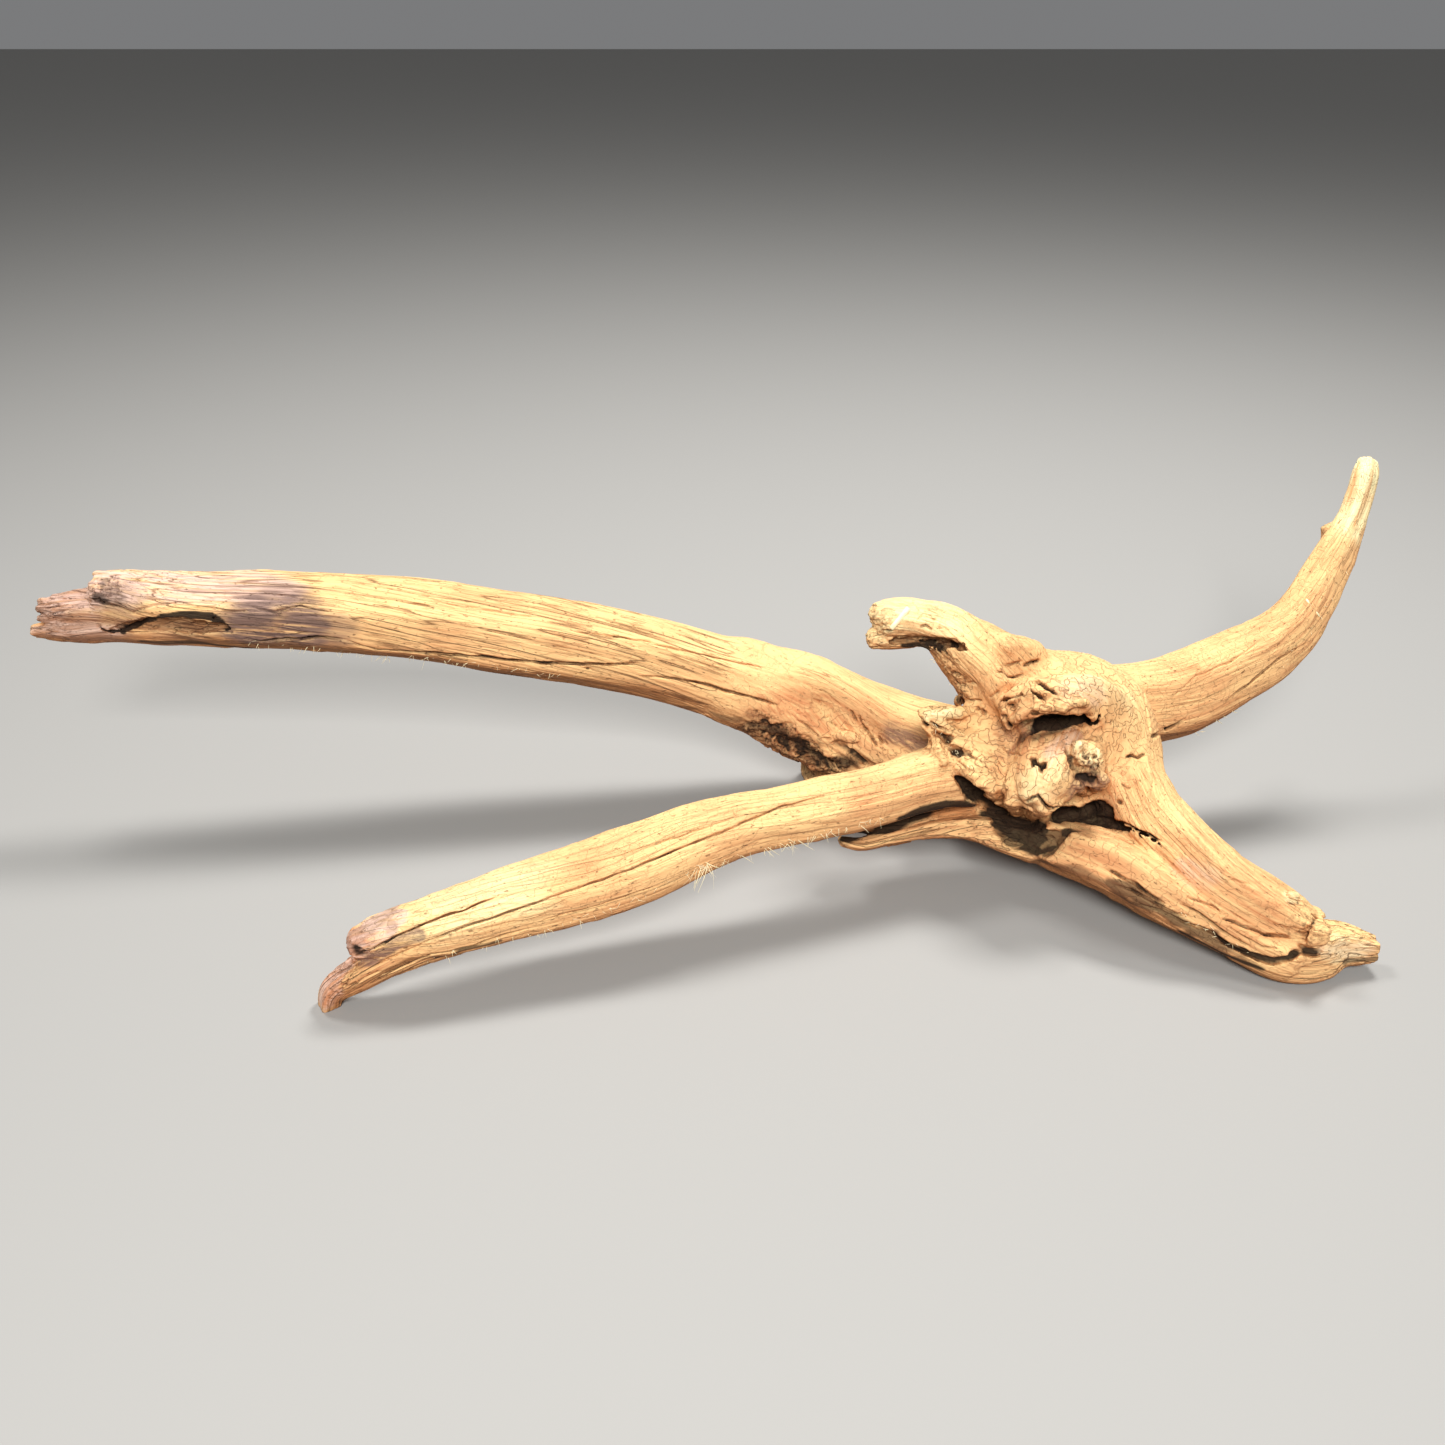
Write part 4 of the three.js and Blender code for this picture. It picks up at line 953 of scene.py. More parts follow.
class Wood:
    """The whole piece as one field, with its marks placed on it from the photograph."""

    def __init__(self, shape):
        self.shape = shape
        self.carvings = []
        self.place_marks()

    def bare(self, points):
        """Signed distance to the strands less the hollows, what colours them, and each node's distance.

        Each strand is joined to those before it with a fillet. Its relief is worked out only near its
        surface.
        """
        count = len(points)
        total = np.full(count, FAR)
        out = np.zeros(count)
        groove = np.zeros(count)
        hollow = np.zeros(count)
        calm = np.ones(count)
        knotty = np.zeros(count)
        grain = np.zeros((count, 3))
        owned = {node: np.full(count, FAR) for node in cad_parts}
        for strand in STRANDS.values():
            near = np.flatnonzero(within(points, strand.low, strand.high, REACH))
            if not len(near):
                continue
            value, own_grain = strand.field(points[near])
            own_out = np.zeros(len(near))
            own_groove = np.zeros(len(near))
            close = np.flatnonzero(np.abs(value) < RELIEF_REACH)
            if len(close):
                relief = grain_relief(own_grain[close], strand.rough, strand.knotty, self.shape)
                own_out[close], own_groove[close] = relief
            owned[strand.node][near] = np.minimum(owned[strand.node][near], value)
            total[near], share = smooth_least(total[near], value, strand.blend)
            out[near] += (own_out - out[near]) * share
            groove[near] += (own_groove - groove[near]) * share
            knotty[near] += (strand.knotty - knotty[near]) * share
            grain[near] = np.where((share > 0.5)[:, None], own_grain, grain[near])
            calm[near] = np.minimum(np.where(share > 0.98, 1.0, calm[near]), np.abs(2 * share - 1))
        for hole in HOLLOWS.values():
            near = np.flatnonzero(within(points, hole.low, hole.high, REACH / 2))
            if not len(near):
                continue
            value, _ = hole.field(points[near])
            self.carve(total, hollow, near, value + torn(points[near]), hole.blend, hole.hollow_wall_shade)
        for carving in self.carvings:
            near = np.flatnonzero(within(points, carving.low, carving.high, REACH / 2))
            if not len(near):
                continue
            form = carving.form
            value = carving.field(points[near]) + form.torn * torn(points[near])
            if form.air:
                self.carve(total, hollow, near, value, form.blend, form.dark)
            else:
                total[near], share = smooth_least(total[near], value, form.blend)
                hollow[near] *= 1 - share
        shade = {"groove": groove, "hollow": hollow, "calm": calm, "knotty": knotty, "grain": grain}
        return total - out, shade, owned

    @staticmethod
    def carve(total, hollow, near, value, blend, hollow_wall_shade):
        """Cuts a shape of air out of the wood near it. Its walls are painted darker, as shade, the deeper
        they are.
        """
        depth = -total[near]
        air, share = smooth_least(depth, value, blend)
        total[near] = -air
        hollow[near] = np.maximum(hollow[near], hollow_wall_shade * share * np.clip(depth / WALL_SHADE_DEPTH, 0.0, 1.0))

    def on_surface(self, pixels):
        """The first wood that each pixel's ray meets, found by stepping along it by the distance left."""
        rays = pixel_rays(pixels)
        reach = np.full(len(rays), RAY_START)
        best = np.full(len(rays), FAR)
        held = reach.copy()
        for _ in range(RAY_STEPS):
            left = self.bare(CAMERA_PLACE + rays * reach[:, None])[0]
            held[left < best] = reach[left < best]
            best = np.minimum(best, left)
            reach += np.where(best < RAY_NEAR, 0.0, np.clip(0.6 * left, 0.2, 12.0))
        return CAMERA_PLACE + rays * held[:, None]

    def slope(self, points):
        """The way out of the wood at each point, from differences of the field."""
        steps = SLOPE_STEP * np.eye(3)
        rises = [self.bare(points + step)[0] - self.bare(points - step)[0] for step in steps]
        return unit(np.stack(rises, axis=1))

    @staticmethod
    def fibre_way(points):
        """The way that the fibres of the nearest strand run at each point."""
        best = np.full(len(points), FAR)
        ways = np.zeros((len(points), 3))
        for strand in STRANDS.values():
            value = strand.field(points)[0]
            length = strand.measure(points)[2]
            nearer = value < best
            best[nearer] = value[nearer]
            ways[nearer] = strand.at(length)[3][nearer]
        return ways

    def place_marks(self):
        """Finds every mark's place on the wood: first the forms, then the rest on the wood with them."""
        places = self.on_surface([pixel for form in FORMS for pixel in form.pixels])
        self.carvings = [Carving(*found) for found in dealt(FORMS, places, self.slope(places))]
        zones = [zone for kind in ZONES.values() for zone in kind]
        marks = [*CRACKS, *PITS, *zones]
        places = self.on_surface([pixel for mark in marks for pixel in mark.pixels])
        found = dealt(marks, places, self.slope(places), self.fibre_way(places))
        self.cracks = [next(found) for _ in CRACKS]
        self.pits = [next(found) for _ in PITS]
        self.zones = {kind: [next(found) for _ in listed] for kind, listed in ZONES.items()}

    def cuts(self, points):
        """How deep the cracks and pits cut at each point, in mm.

        A crack is a groove with a round floor along its line on the wood, which wanders a little and tapers
        at both ends. A pit is a hollow that is longer along the fibres, with an uneven edge.
        """
        cut = np.zeros(len(points))
        wander = np.stack([noise(points / MARK_WANDER, 21 + i) for i in range(3)], axis=1)
        for crack, line, ways, _ in self.cracks:
            near = np.flatnonzero(within(points, line.min(axis=0), line.max(axis=0), MARK_REACH))
            if not len(near):
                continue
            moved = points[near] + CRACK_BEND * wander[near]
            run = np.concatenate([[0.0], np.cumsum(np.linalg.norm(np.diff(line, axis=0), axis=1))])
            least = np.full(len(near), FAR)
            along = np.zeros(len(near))
            for i in range(len(line) - 1):
                share, away = beside_stretch(moved, line[i], line[i + 1])
                side = self.beside(away, unit(ways[i] + ways[i + 1]))
                closer = side < least
                least[closer] = side[closer]
                along[closer] = (run[i] + share[closer] * (run[i + 1] - run[i])) / run[-1]
            taper = np.sqrt(np.clip(6.0 * along * (1 - along), 0.0, 1.0)) * (0.75 + 0.35 * wander[near, 0])
            half_width = crack.width / 2 * (0.5 + 0.6 * taper)
            own = crack.depth * taper * np.clip(1 - (least / half_width) ** 2, 0.0, 1.0)
            cut[near] = np.maximum(cut[near], own)
        for pit, place, way, run in self.pits:
            near = np.flatnonzero(within(points, place[0], place[0], MARK_REACH))
            away = points[near] + PIT_BEND * wander[near] - place[0]
            side = self.beside(away - PIT_STRETCH * (away @ run[0])[:, None] * run[0], way[0])
            edge = pit.radius * (1 + 0.45 * noise(points[near] / PIT_EDGE, 29))
            cut[near] = np.maximum(cut[near], pit.depth * np.clip(1 - (side / edge) ** 2, 0.0, 1.0))
        return cut

    @staticmethod
    def beside(away, way):
        """How far a point lies from a mark, across the way out of the wood. FAR on the wood's other side."""
        rise = away @ way
        side = np.sqrt(np.maximum(0.0, (away**2).sum(axis=1) - rise**2))
        return np.where(np.abs(rise) > MARK_REACH, FAR, side)

    def zone(self, points, kind):
        """How strongly each point lies in one kind of zone, from 0 to 1."""
        amount = np.zeros(len(points))
        if not len(points):
            return amount
        edge = noise(points / ZONE_EDGE, 51) + 0.5 * noise(points / ZONE_EDGE_FINE, 52)
        for zone, line, _, _ in self.zones[kind]:
            away = beside_line(points, line) / zone.radius + zone.ragged * edge
            amount = np.maximum(amount, zone.amount * smooth_step(zone.sharpness * (1 - away)))
        return amount

    def full(self, points):
        """The finished field in mm, what colours the wood, and the distance to each node's strands."""
        total, shade, owned = self.bare(points)
        cut = np.zeros(len(points))
        crumbs = np.zeros(len(points))
        broken = np.zeros(len(points))
        close = np.flatnonzero(np.abs(total) < RELIEF_REACH + 2)
        if len(close):
            cut[close] = self.cuts(points[close])
            crumbs[close] = self.zone(points[close], "crumbling")
            rotten = close[crumbs[close] > 0.01]
            if len(rotten):
                spots = points[rotten] / CRUMB["across"]
                spots += 0.35 * noise(0.5 * spots, 43)[:, None]
                blocks = np.abs(noise(spots, 41)) + 0.35 * noise(2 * spots, 44) + 0.2 * noise(4 * spots, 45)
                flakes = np.abs(noise(points[rotten] / FLAKE["across"], 42))
                pitted = self.shape.crumb_depth * (blocks - 0.4) + FLAKE["height"] * (flakes - 0.35)
                broken[rotten] = np.clip(0.75 - 1.6 * blocks - 0.5 * flakes, 0.0, 1.0) * crumbs[rotten]
                total[rotten] -= crumbs[rotten] * pitted
            total[close] += cut[close]
        # Painted shade: cracks and pits darken with their depth, hollows and gouges by their walls' share,
        # and rotten wood in its sunken crumbs.
        shade["cavity"] = np.clip(np.maximum(0.42 * cut, shade.pop("hollow")) + broken, 0.0, 1.0)
        shade["crumb"] = crumbs
        return total, shade, owned

    def piece(self, points, name):
        """The field of one piece's share of the wood, in mm.

        A limb starts at its fork's plane and holds what is nearer to its own strands than to the others, and
        the crown holds the rest. Past its border a piece dips a little and ends, hidden under its neighbour.
        """
        total, shade, owned = self.full(points)
        node = LATTICES[name].get("node", name)
        for limb in FORKS:
            if node not in ("crown", limb) and not (node == "heel_root" and limb == "long_branch"):
                continue
            family = RUNS_ON.get(limb, (limb,))
            own = np.minimum.reduce([owned[name] for name in family])
            other = np.minimum.reduce([owned[name] for name in owned if name not in family])
            past = np.minimum(beyond_fork(points, limb), 0.5 * (other - own))
            total = self.ended(total, -past if node == limb else past)
        if "side" in LATTICES[name]:
            total = self.ended(total, LATTICES[name]["side"] * (CROWN_SPLIT - points[:, 1]))
        return np.maximum(total, GROUND - points[:, 2]), shade

    @staticmethod
    def ended(total, past):
        """The field with its wood ended past a border: past is how far beyond it each point lies, in mm."""
        return np.maximum(total + FORK_DIP * smooth_step(past / FORK_OVERLAP), past - FORK_OVERLAP)


def in_parallel(work, points):
    """Does one job on all the points, a chunk at a time on every core."""
    with ThreadPoolExecutor() as pool:
        return list(pool.map(work, [points[start:start + CHUNK] for start in range(0, len(points), CHUNK)]))


# Surfaces

def all_places(counts):
    """Every whole-number place in a box of these counts, as rows."""
    return np.stack(np.meshgrid(*[np.arange(n) for n in counts], indexing="ij"), axis=-1).reshape(-1, 3)


class Lattice:
    """A box of points around one piece, and where each of them lies, in mm.

    Its first and last axes run across the fibres and its middle one along them. A straight lattice has them
    along X, Y and Z. On a run it is bent round a strand's curve, which goes on straight past its ends.
    """

    def __init__(self, name):
        plan = LATTICES[name]
        coarser = 1.0
        self.run = None
        if "run" in plan:
            self.run = STRANDS[plan["run"]].gone_on(RUN_OVERHANG)
            self.step = np.array([plan["across"], plan["along"], plan["across"]]) * coarser
            low, high = self.run_box(name)
        else:
            self.step = np.full(3, plan["step"] * coarser)
            low, high = [np.array(corner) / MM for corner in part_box(plan.get("node", name))]
            if "side" in plan:
                cut_corner = high if plan["side"] < 0 else low
                cut_corner[1] = CROWN_SPLIT
        self.low = low - LATTICE_MARGIN
        self.ratio = np.maximum(2, np.round(COARSE_SPAN / self.step).astype(int))
        self.counts = np.ceil((high + LATTICE_MARGIN - self.low) / self.step).astype(int) + 1

    def run_box(self, node):
        """The lowest and highest run coordinates of the piece's strands, up to a little past its fork."""
        edges = []
        for strand in STRANDS.values():
            if strand.node == node:
                reach = (strand.half * max(1.0, strand.flatness))[:, None]
                ways = (strand.depth_way, strand.height_way, strand.tangent)
                edges += [strand.centre + sign * reach * way for way in ways for sign in (-1, 1)]
        points = np.concatenate(edges)
        points = points[beyond_fork(points, node) > -FORK_OVERLAP]
        depth, height, length = self.run.measure(points)[:3]
        places = np.stack([depth, length, height], axis=1)
        return places.min(axis=0), places.max(axis=0)

    def points(self, places):
        """The points in mm at lattice places, whole or not."""
        across, along, up = (self.low + places * self.step).T
        if self.run is None:
            return np.stack([across, along, up], axis=1)
        centre, depth_way, height_way, _ = self.run.at(along)
        return centre + across[:, None] * depth_way + up[:, None] * height_way

    def ways(self, places, slopes):
        """Unit ways in space for the field's slopes along the lattice's axes."""
        across, along, up = (slopes / self.step).T
        if self.run is None:
            return unit(np.stack([across, along, up], axis=1) + 1e-9)
        _, depth_way, height_way, tangent = self.run.at((self.low + places * self.step)[:, 1])
        return unit(across[:, None] * depth_way + along[:, None] * tangent + up[:, None] * height_way + 1e-9)

    def field(self, wood, name):
        """The piece's field at every point, worked out only near its surface.

        A coarse lattice comes first. Where it is close to the surface, the fine points around it are worked
        out, and elsewhere they only say whether they are in wood or in air.
        """
        def worked_out(places):
            return np.concatenate(in_parallel(lambda part: wood.piece(self.points(part), name)[0], places))

        coarse_counts = -(-self.counts // self.ratio)
        grid = all_places(coarse_counts) * self.ratio
        coarse = worked_out(grid + (self.ratio - 1) / 2)
        values = np.where(coarse < 0, -FAR, FAR).reshape(coarse_counts)
        for axis in range(3):
            values = values.repeat(self.ratio[axis], axis)
        values = values[:self.counts[0], :self.counts[1], :self.counts[2]]
        kept = grid[np.abs(coarse) < 0.5 * np.linalg.norm(self.ratio * self.step) + COARSE_SLACK]
        fine = (kept[:, None, :] + all_places(self.ratio)).reshape(-1, 3)
        fine = fine[np.all(fine < self.counts, axis=1)]
        values[tuple(fine.T)] = worked_out(fine)
        return values


def surface_net(values):
    """The zero surface of a lattice of values, as places in lattice steps, the ways out there, and quads.

    Each lattice cell that the surface crosses holds one point, the mean of the crossings on the cell's edges.
    Each lattice edge that it crosses has one quad, which joins the points of the four cells around that edge.
    """
    inside = values < 0
    corners = all_places([2, 2, 2])
    shape = np.array(values.shape) - 1
    blocks = [inside[i:i + shape[0], j:j + shape[1], k:k + shape[2]] for i, j, k in corners]
    filled = sum(block.astype(np.int8) for block in blocks)
    cells = np.argwhere((filled > 0) & (filled < 8))
    number = np.zeros(shape, dtype=np.int64)
    number[tuple(cells.T)] = np.arange(len(cells))
    at = np.stack([values[tuple((cells + corner).T)] for corner in corners], axis=1)
    total = np.zeros((len(cells), 3))
    crossings = np.zeros(len(cells))
    way = np.zeros((len(cells), 3))
    for a, corner in enumerate(corners):
        for axis in np.flatnonzero(corner == 0):
            b = a + (4, 2, 1)[axis]
            rise = at[:, b] - at[:, a]
            way[:, axis] += np.clip(rise, -3, 3)
            crossed = (at[:, a] < 0) != (at[:, b] < 0)
            place = corner + (-at[:, a] / np.where(crossed, rise, 1.0))[:, None] * np.eye(3)[axis]
            total += np.where(crossed[:, None], place, 0.0)
            crossings += crossed
    places = cells + total / crossings[:, None]
    quads = []
    for axis in range(3):
        one, two = np.eye(3, dtype=int)[(axis + 1) % 3], np.eye(3, dtype=int)[(axis + 2) % 3]
        here = np.take(inside, range(shape[axis]), axis)
        next_one = np.take(inside, range(1, shape[axis] + 1), axis)
        edges = np.argwhere(here != next_one)
        shifts = (one + two, two, 0 * one, one)
        ring = np.stack([number[tuple((edges - shift).T)] for shift in shifts], axis=1)
        outward = here[tuple(edges.T)]
        quads.append(np.where(outward[:, None], ring, ring[:, ::-1]))
    return places, way, np.concatenate(quads)


def largest_body(quads, count):
    """The quads of the largest joined body: all its points take the least number among them, step by step."""
    label = np.arange(count)
    while True:
        lower = label.copy()
        least = label[quads].min(axis=1)
        for corner in range(4):
            np.minimum.at(lower, quads[:, corner], least)
        lower = lower[lower]
        if np.array_equal(lower, label):
            break
        label = lower
    return quads[label[quads[:, 0]] == np.bincount(label[quads[:, 0]]).argmax()]


def wood_surface(wood, name):
    """One piece's points in mm, quads, ways out, and what colours each point.

    Each net point is slid along its way out by the field's value there, so that it lies on the surface
    itself. Occlusion shade is how near other wood is to a place a little way out from the point; the
    material paints it as shade.
    """
    lattice = Lattice(name)
    places, slopes, quads = surface_net(lattice.field(wood, name))
    quads = largest_body(quads, len(places))
    used, quads = np.unique(quads, return_inverse=True)
    quads = quads.reshape(-1, 4)
    points = lattice.points(places[used])
    ways = lattice.ways(places[used], slopes[used])
    slid = np.concatenate(in_parallel(lambda part: wood.piece(part, name)[0], points))
    most = SLIDE_SHARE * lattice.step.min()
    points = points - ways * np.clip(slid, -most, most)[:, None]
    shades = in_parallel(lambda part: wood.full(part)[1], points)
    shade = {name: np.concatenate([part[name] for part in shades]) for name in shades[0]}
    around = np.concatenate(in_parallel(lambda part: wood.bare(part)[0], points + OCCLUSION_OUT * ways))
    shade["shelter"] = smooth_step(1 - around / OCCLUSION_FADE)
    return points, quads, ways, shade


# Loose fibres

def tapered_tubes(roots, ways, lengths, widths, bends, tips):
    """Thin closed tubes, as points in mm and quads: a square section is carried along a parabola.

    The middle line goes from the root along its way by its length, and its bend moves it aside by the square
    of the share gone. The half width falls in a straight line to its tip share at the tip.
    """
    share = np.linspace(0.0, 1.0, FIBRE_RINGS)[None, :, None]
    line = roots[:, None] + lengths[:, None, None] * (share * ways[:, None] + share**2 * bends[:, None])
    side = unit(np.cross(ways, (0.31, 0.2, 0.93)))
    other = np.cross(ways, side)
    half = widths[:, None, None] / 2 * (1 - (1 - tips[:, None, None]) * share)
    points = np.stack([line + half * corner[:, None] for corner in (side, other, -side, -other)], axis=2)
    number = np.arange(points[..., 0].size).reshape(points.shape[:3])
    turned = np.roll(number, -1, axis=2)
    walls = np.stack([number[:, :-1], turned[:, :-1], turned[:, 1:], number[:, 1:]], axis=-1).reshape(-1, 4)
    caps = np.concatenate([number[:, 0, ::-1], number[:, -1]])
    return points.reshape(-1, 3), np.concatenate([walls, caps])


def loose_fibres(wood):
    """All loose fibres and splinters as points in mm and quads, rooted where the photograph shows them."""
    random = np.random.default_rng(77)
    parts = []
    for tuft in TUFTS:
        count = tuft.number
        spots = np.array(tuft.pixels, dtype=float)
        shares = random.uniform(0, 1, count)
        at = np.linspace(0.0, 1.0, len(spots))
        pixels = np.stack([np.interp(shares, at, spots[:, i]) for i in (0, 1)], axis=1)
        roots = wood.on_surface(pixels + random.normal(0, FIBRE_SCATTER, (count, 2)))
        out = wood.slope(roots)
        run = wood.fibre_way(roots)
        run *= np.sign(random.uniform(-1, 1, (count, 1)))
        lean = random.uniform(0.3, 1.6, (count, 1))
        straight = out + lean * run - tuft.droop * np.array([0, 0, 0.7])
        ways = unit(straight + random.normal(0, 0.3, (count, 3)))
        bends = random.normal(0, 0.25, (count, 3)) - tuft.droop * np.array([0, 0, 0.25])
        lengths = random.uniform(*tuft.lengths, count) + FIBRE_ROOT
        widths = FIBRE_WIDTH * random.uniform(0.6, 1.5, count)
        parts.append((roots - FIBRE_ROOT * out, ways, lengths, widths, bends, np.full(count, FIBRE_TIP)))
    for splinter in SPLINTERS:
        ends = wood.on_surface(splinter.pixels)
        line = ends + SPLINTER_RISE * wood.slope(ends)
        way = line[1] - line[0]
        length = np.linalg.norm(way)
        sizes = [np.array([value]) for value in (length, splinter.width)]
        parts.append((line[:1], way[None] / length, *sizes, np.zeros((1, 3)), np.array([SPLINTER_TIP])))
    return tapered_tubes(*[np.concatenate(column) for column in zip(*parts)])


# Meshes

def make_object(name, points, faces, attributes, material):
    """A smooth mesh object at the origin, from points in mm, with its attributes."""
    mesh = bpy.data.meshes.new(name)
    mesh.from_pydata(points * MM, [], faces)
    mesh.update()
    for key, values in attributes.items():
        kind, field = ("FLOAT_VECTOR", "vector") if values.ndim == 2 else ("FLOAT", "value")
        mesh.attributes.new(key, kind, "POINT").data.foreach_set(field, values.astype(np.float32).ravel())
    mesh.polygons.foreach_set("use_smooth", np.ones(len(faces), dtype=bool))
    mesh.materials.append(material)
    made = bpy.data.objects.new(name, mesh)
    bpy.context.collection.objects.link(made)
    return made


@lru_cache
def the_wood():
    return Wood(bpy.context.scene.driftwood_shape.in_mm())


def grow(name):
    """Makes one dressed piece of wood, which replaces its node."""
    wood = the_wood()
    points, quads, ways, shade = wood_surface(wood, name)
    # Painted shade: the painted-shade zones darken the wood as the cracks and hollows do.
    cavity = np.maximum(shade["cavity"], wood.zone(points, "painted_shade"))
    stained, reddened = wood.zone(points, "stained"), wood.zone(points, "reddened")
    attributes = {
        "grain": shade["grain"],
        # Painted shade, all three: in the grooves, in cracks, pits, hollows and the painted-shade zones, and
        # where other wood stands close.
        "hollows": np.stack([shade["groove"], cavity, shade["shelter"]], axis=1),
        "ageing": np.stack([shade["crumb"], stained, reddened], axis=1),
        # Painted light and shade: the first of these, how far the surface faces up, makes the tops lighter
        # and the undersides darker.
        "facing_shade_and_grain": np.stack([0.5 + 0.5 * ways[:, 2], shade["calm"], shade["knotty"]], axis=1),
        "bleached": wood.zone(points, "bleached"),
        "silvered": wood.zone(points, "silvered"),
    }
    piece = make_object(name + "_wood", points, quads, attributes, weathered_root_wood())
    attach(piece, "root")
    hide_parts(LATTICES[name].get("node", name))


# Materials

def linear(code):
    """The linear colour of an sRGB hex value."""
    parts = [int(code[i:i + 2], 16) / 255 for i in (0, 2, 4)]
    return tuple(part / 12.92 if part <= 0.04045 else ((part + 0.055) / 1.055) ** 2.4 for part in parts)


def node(tree, kind, settings=None, **links):
    """Adds one shader node. Settings name its properties or sockets, and links its sockets, or _number."""
    made = tree.nodes.new("ShaderNode" + kind)
    for name, value in (settings or {}).items():
        if isinstance(name, str) and hasattr(made, name):
            setattr(made, name, value)
        else:
            made.inputs[name].default_value = value
    for name, source in links.items():
        socket = made.inputs[int(name[1:])] if name[0] == "_" else made.inputs[name]
        tree.links.new(source, socket)
    return made


def new_material(name, settings):
    """A new material with these settings on its shader's own sockets, its node tree and its shader."""
    material = bpy.data.materials.new(name)
    material.use_nodes = True
    shader = material.node_tree.nodes["Principled BSDF"]
    for socket, value in settings.items():
        shader.inputs[socket].default_value = value
    return material, material.node_tree, shader


# Where a Mix node has its two colours.
MIX_A, MIX_B = 6, 7


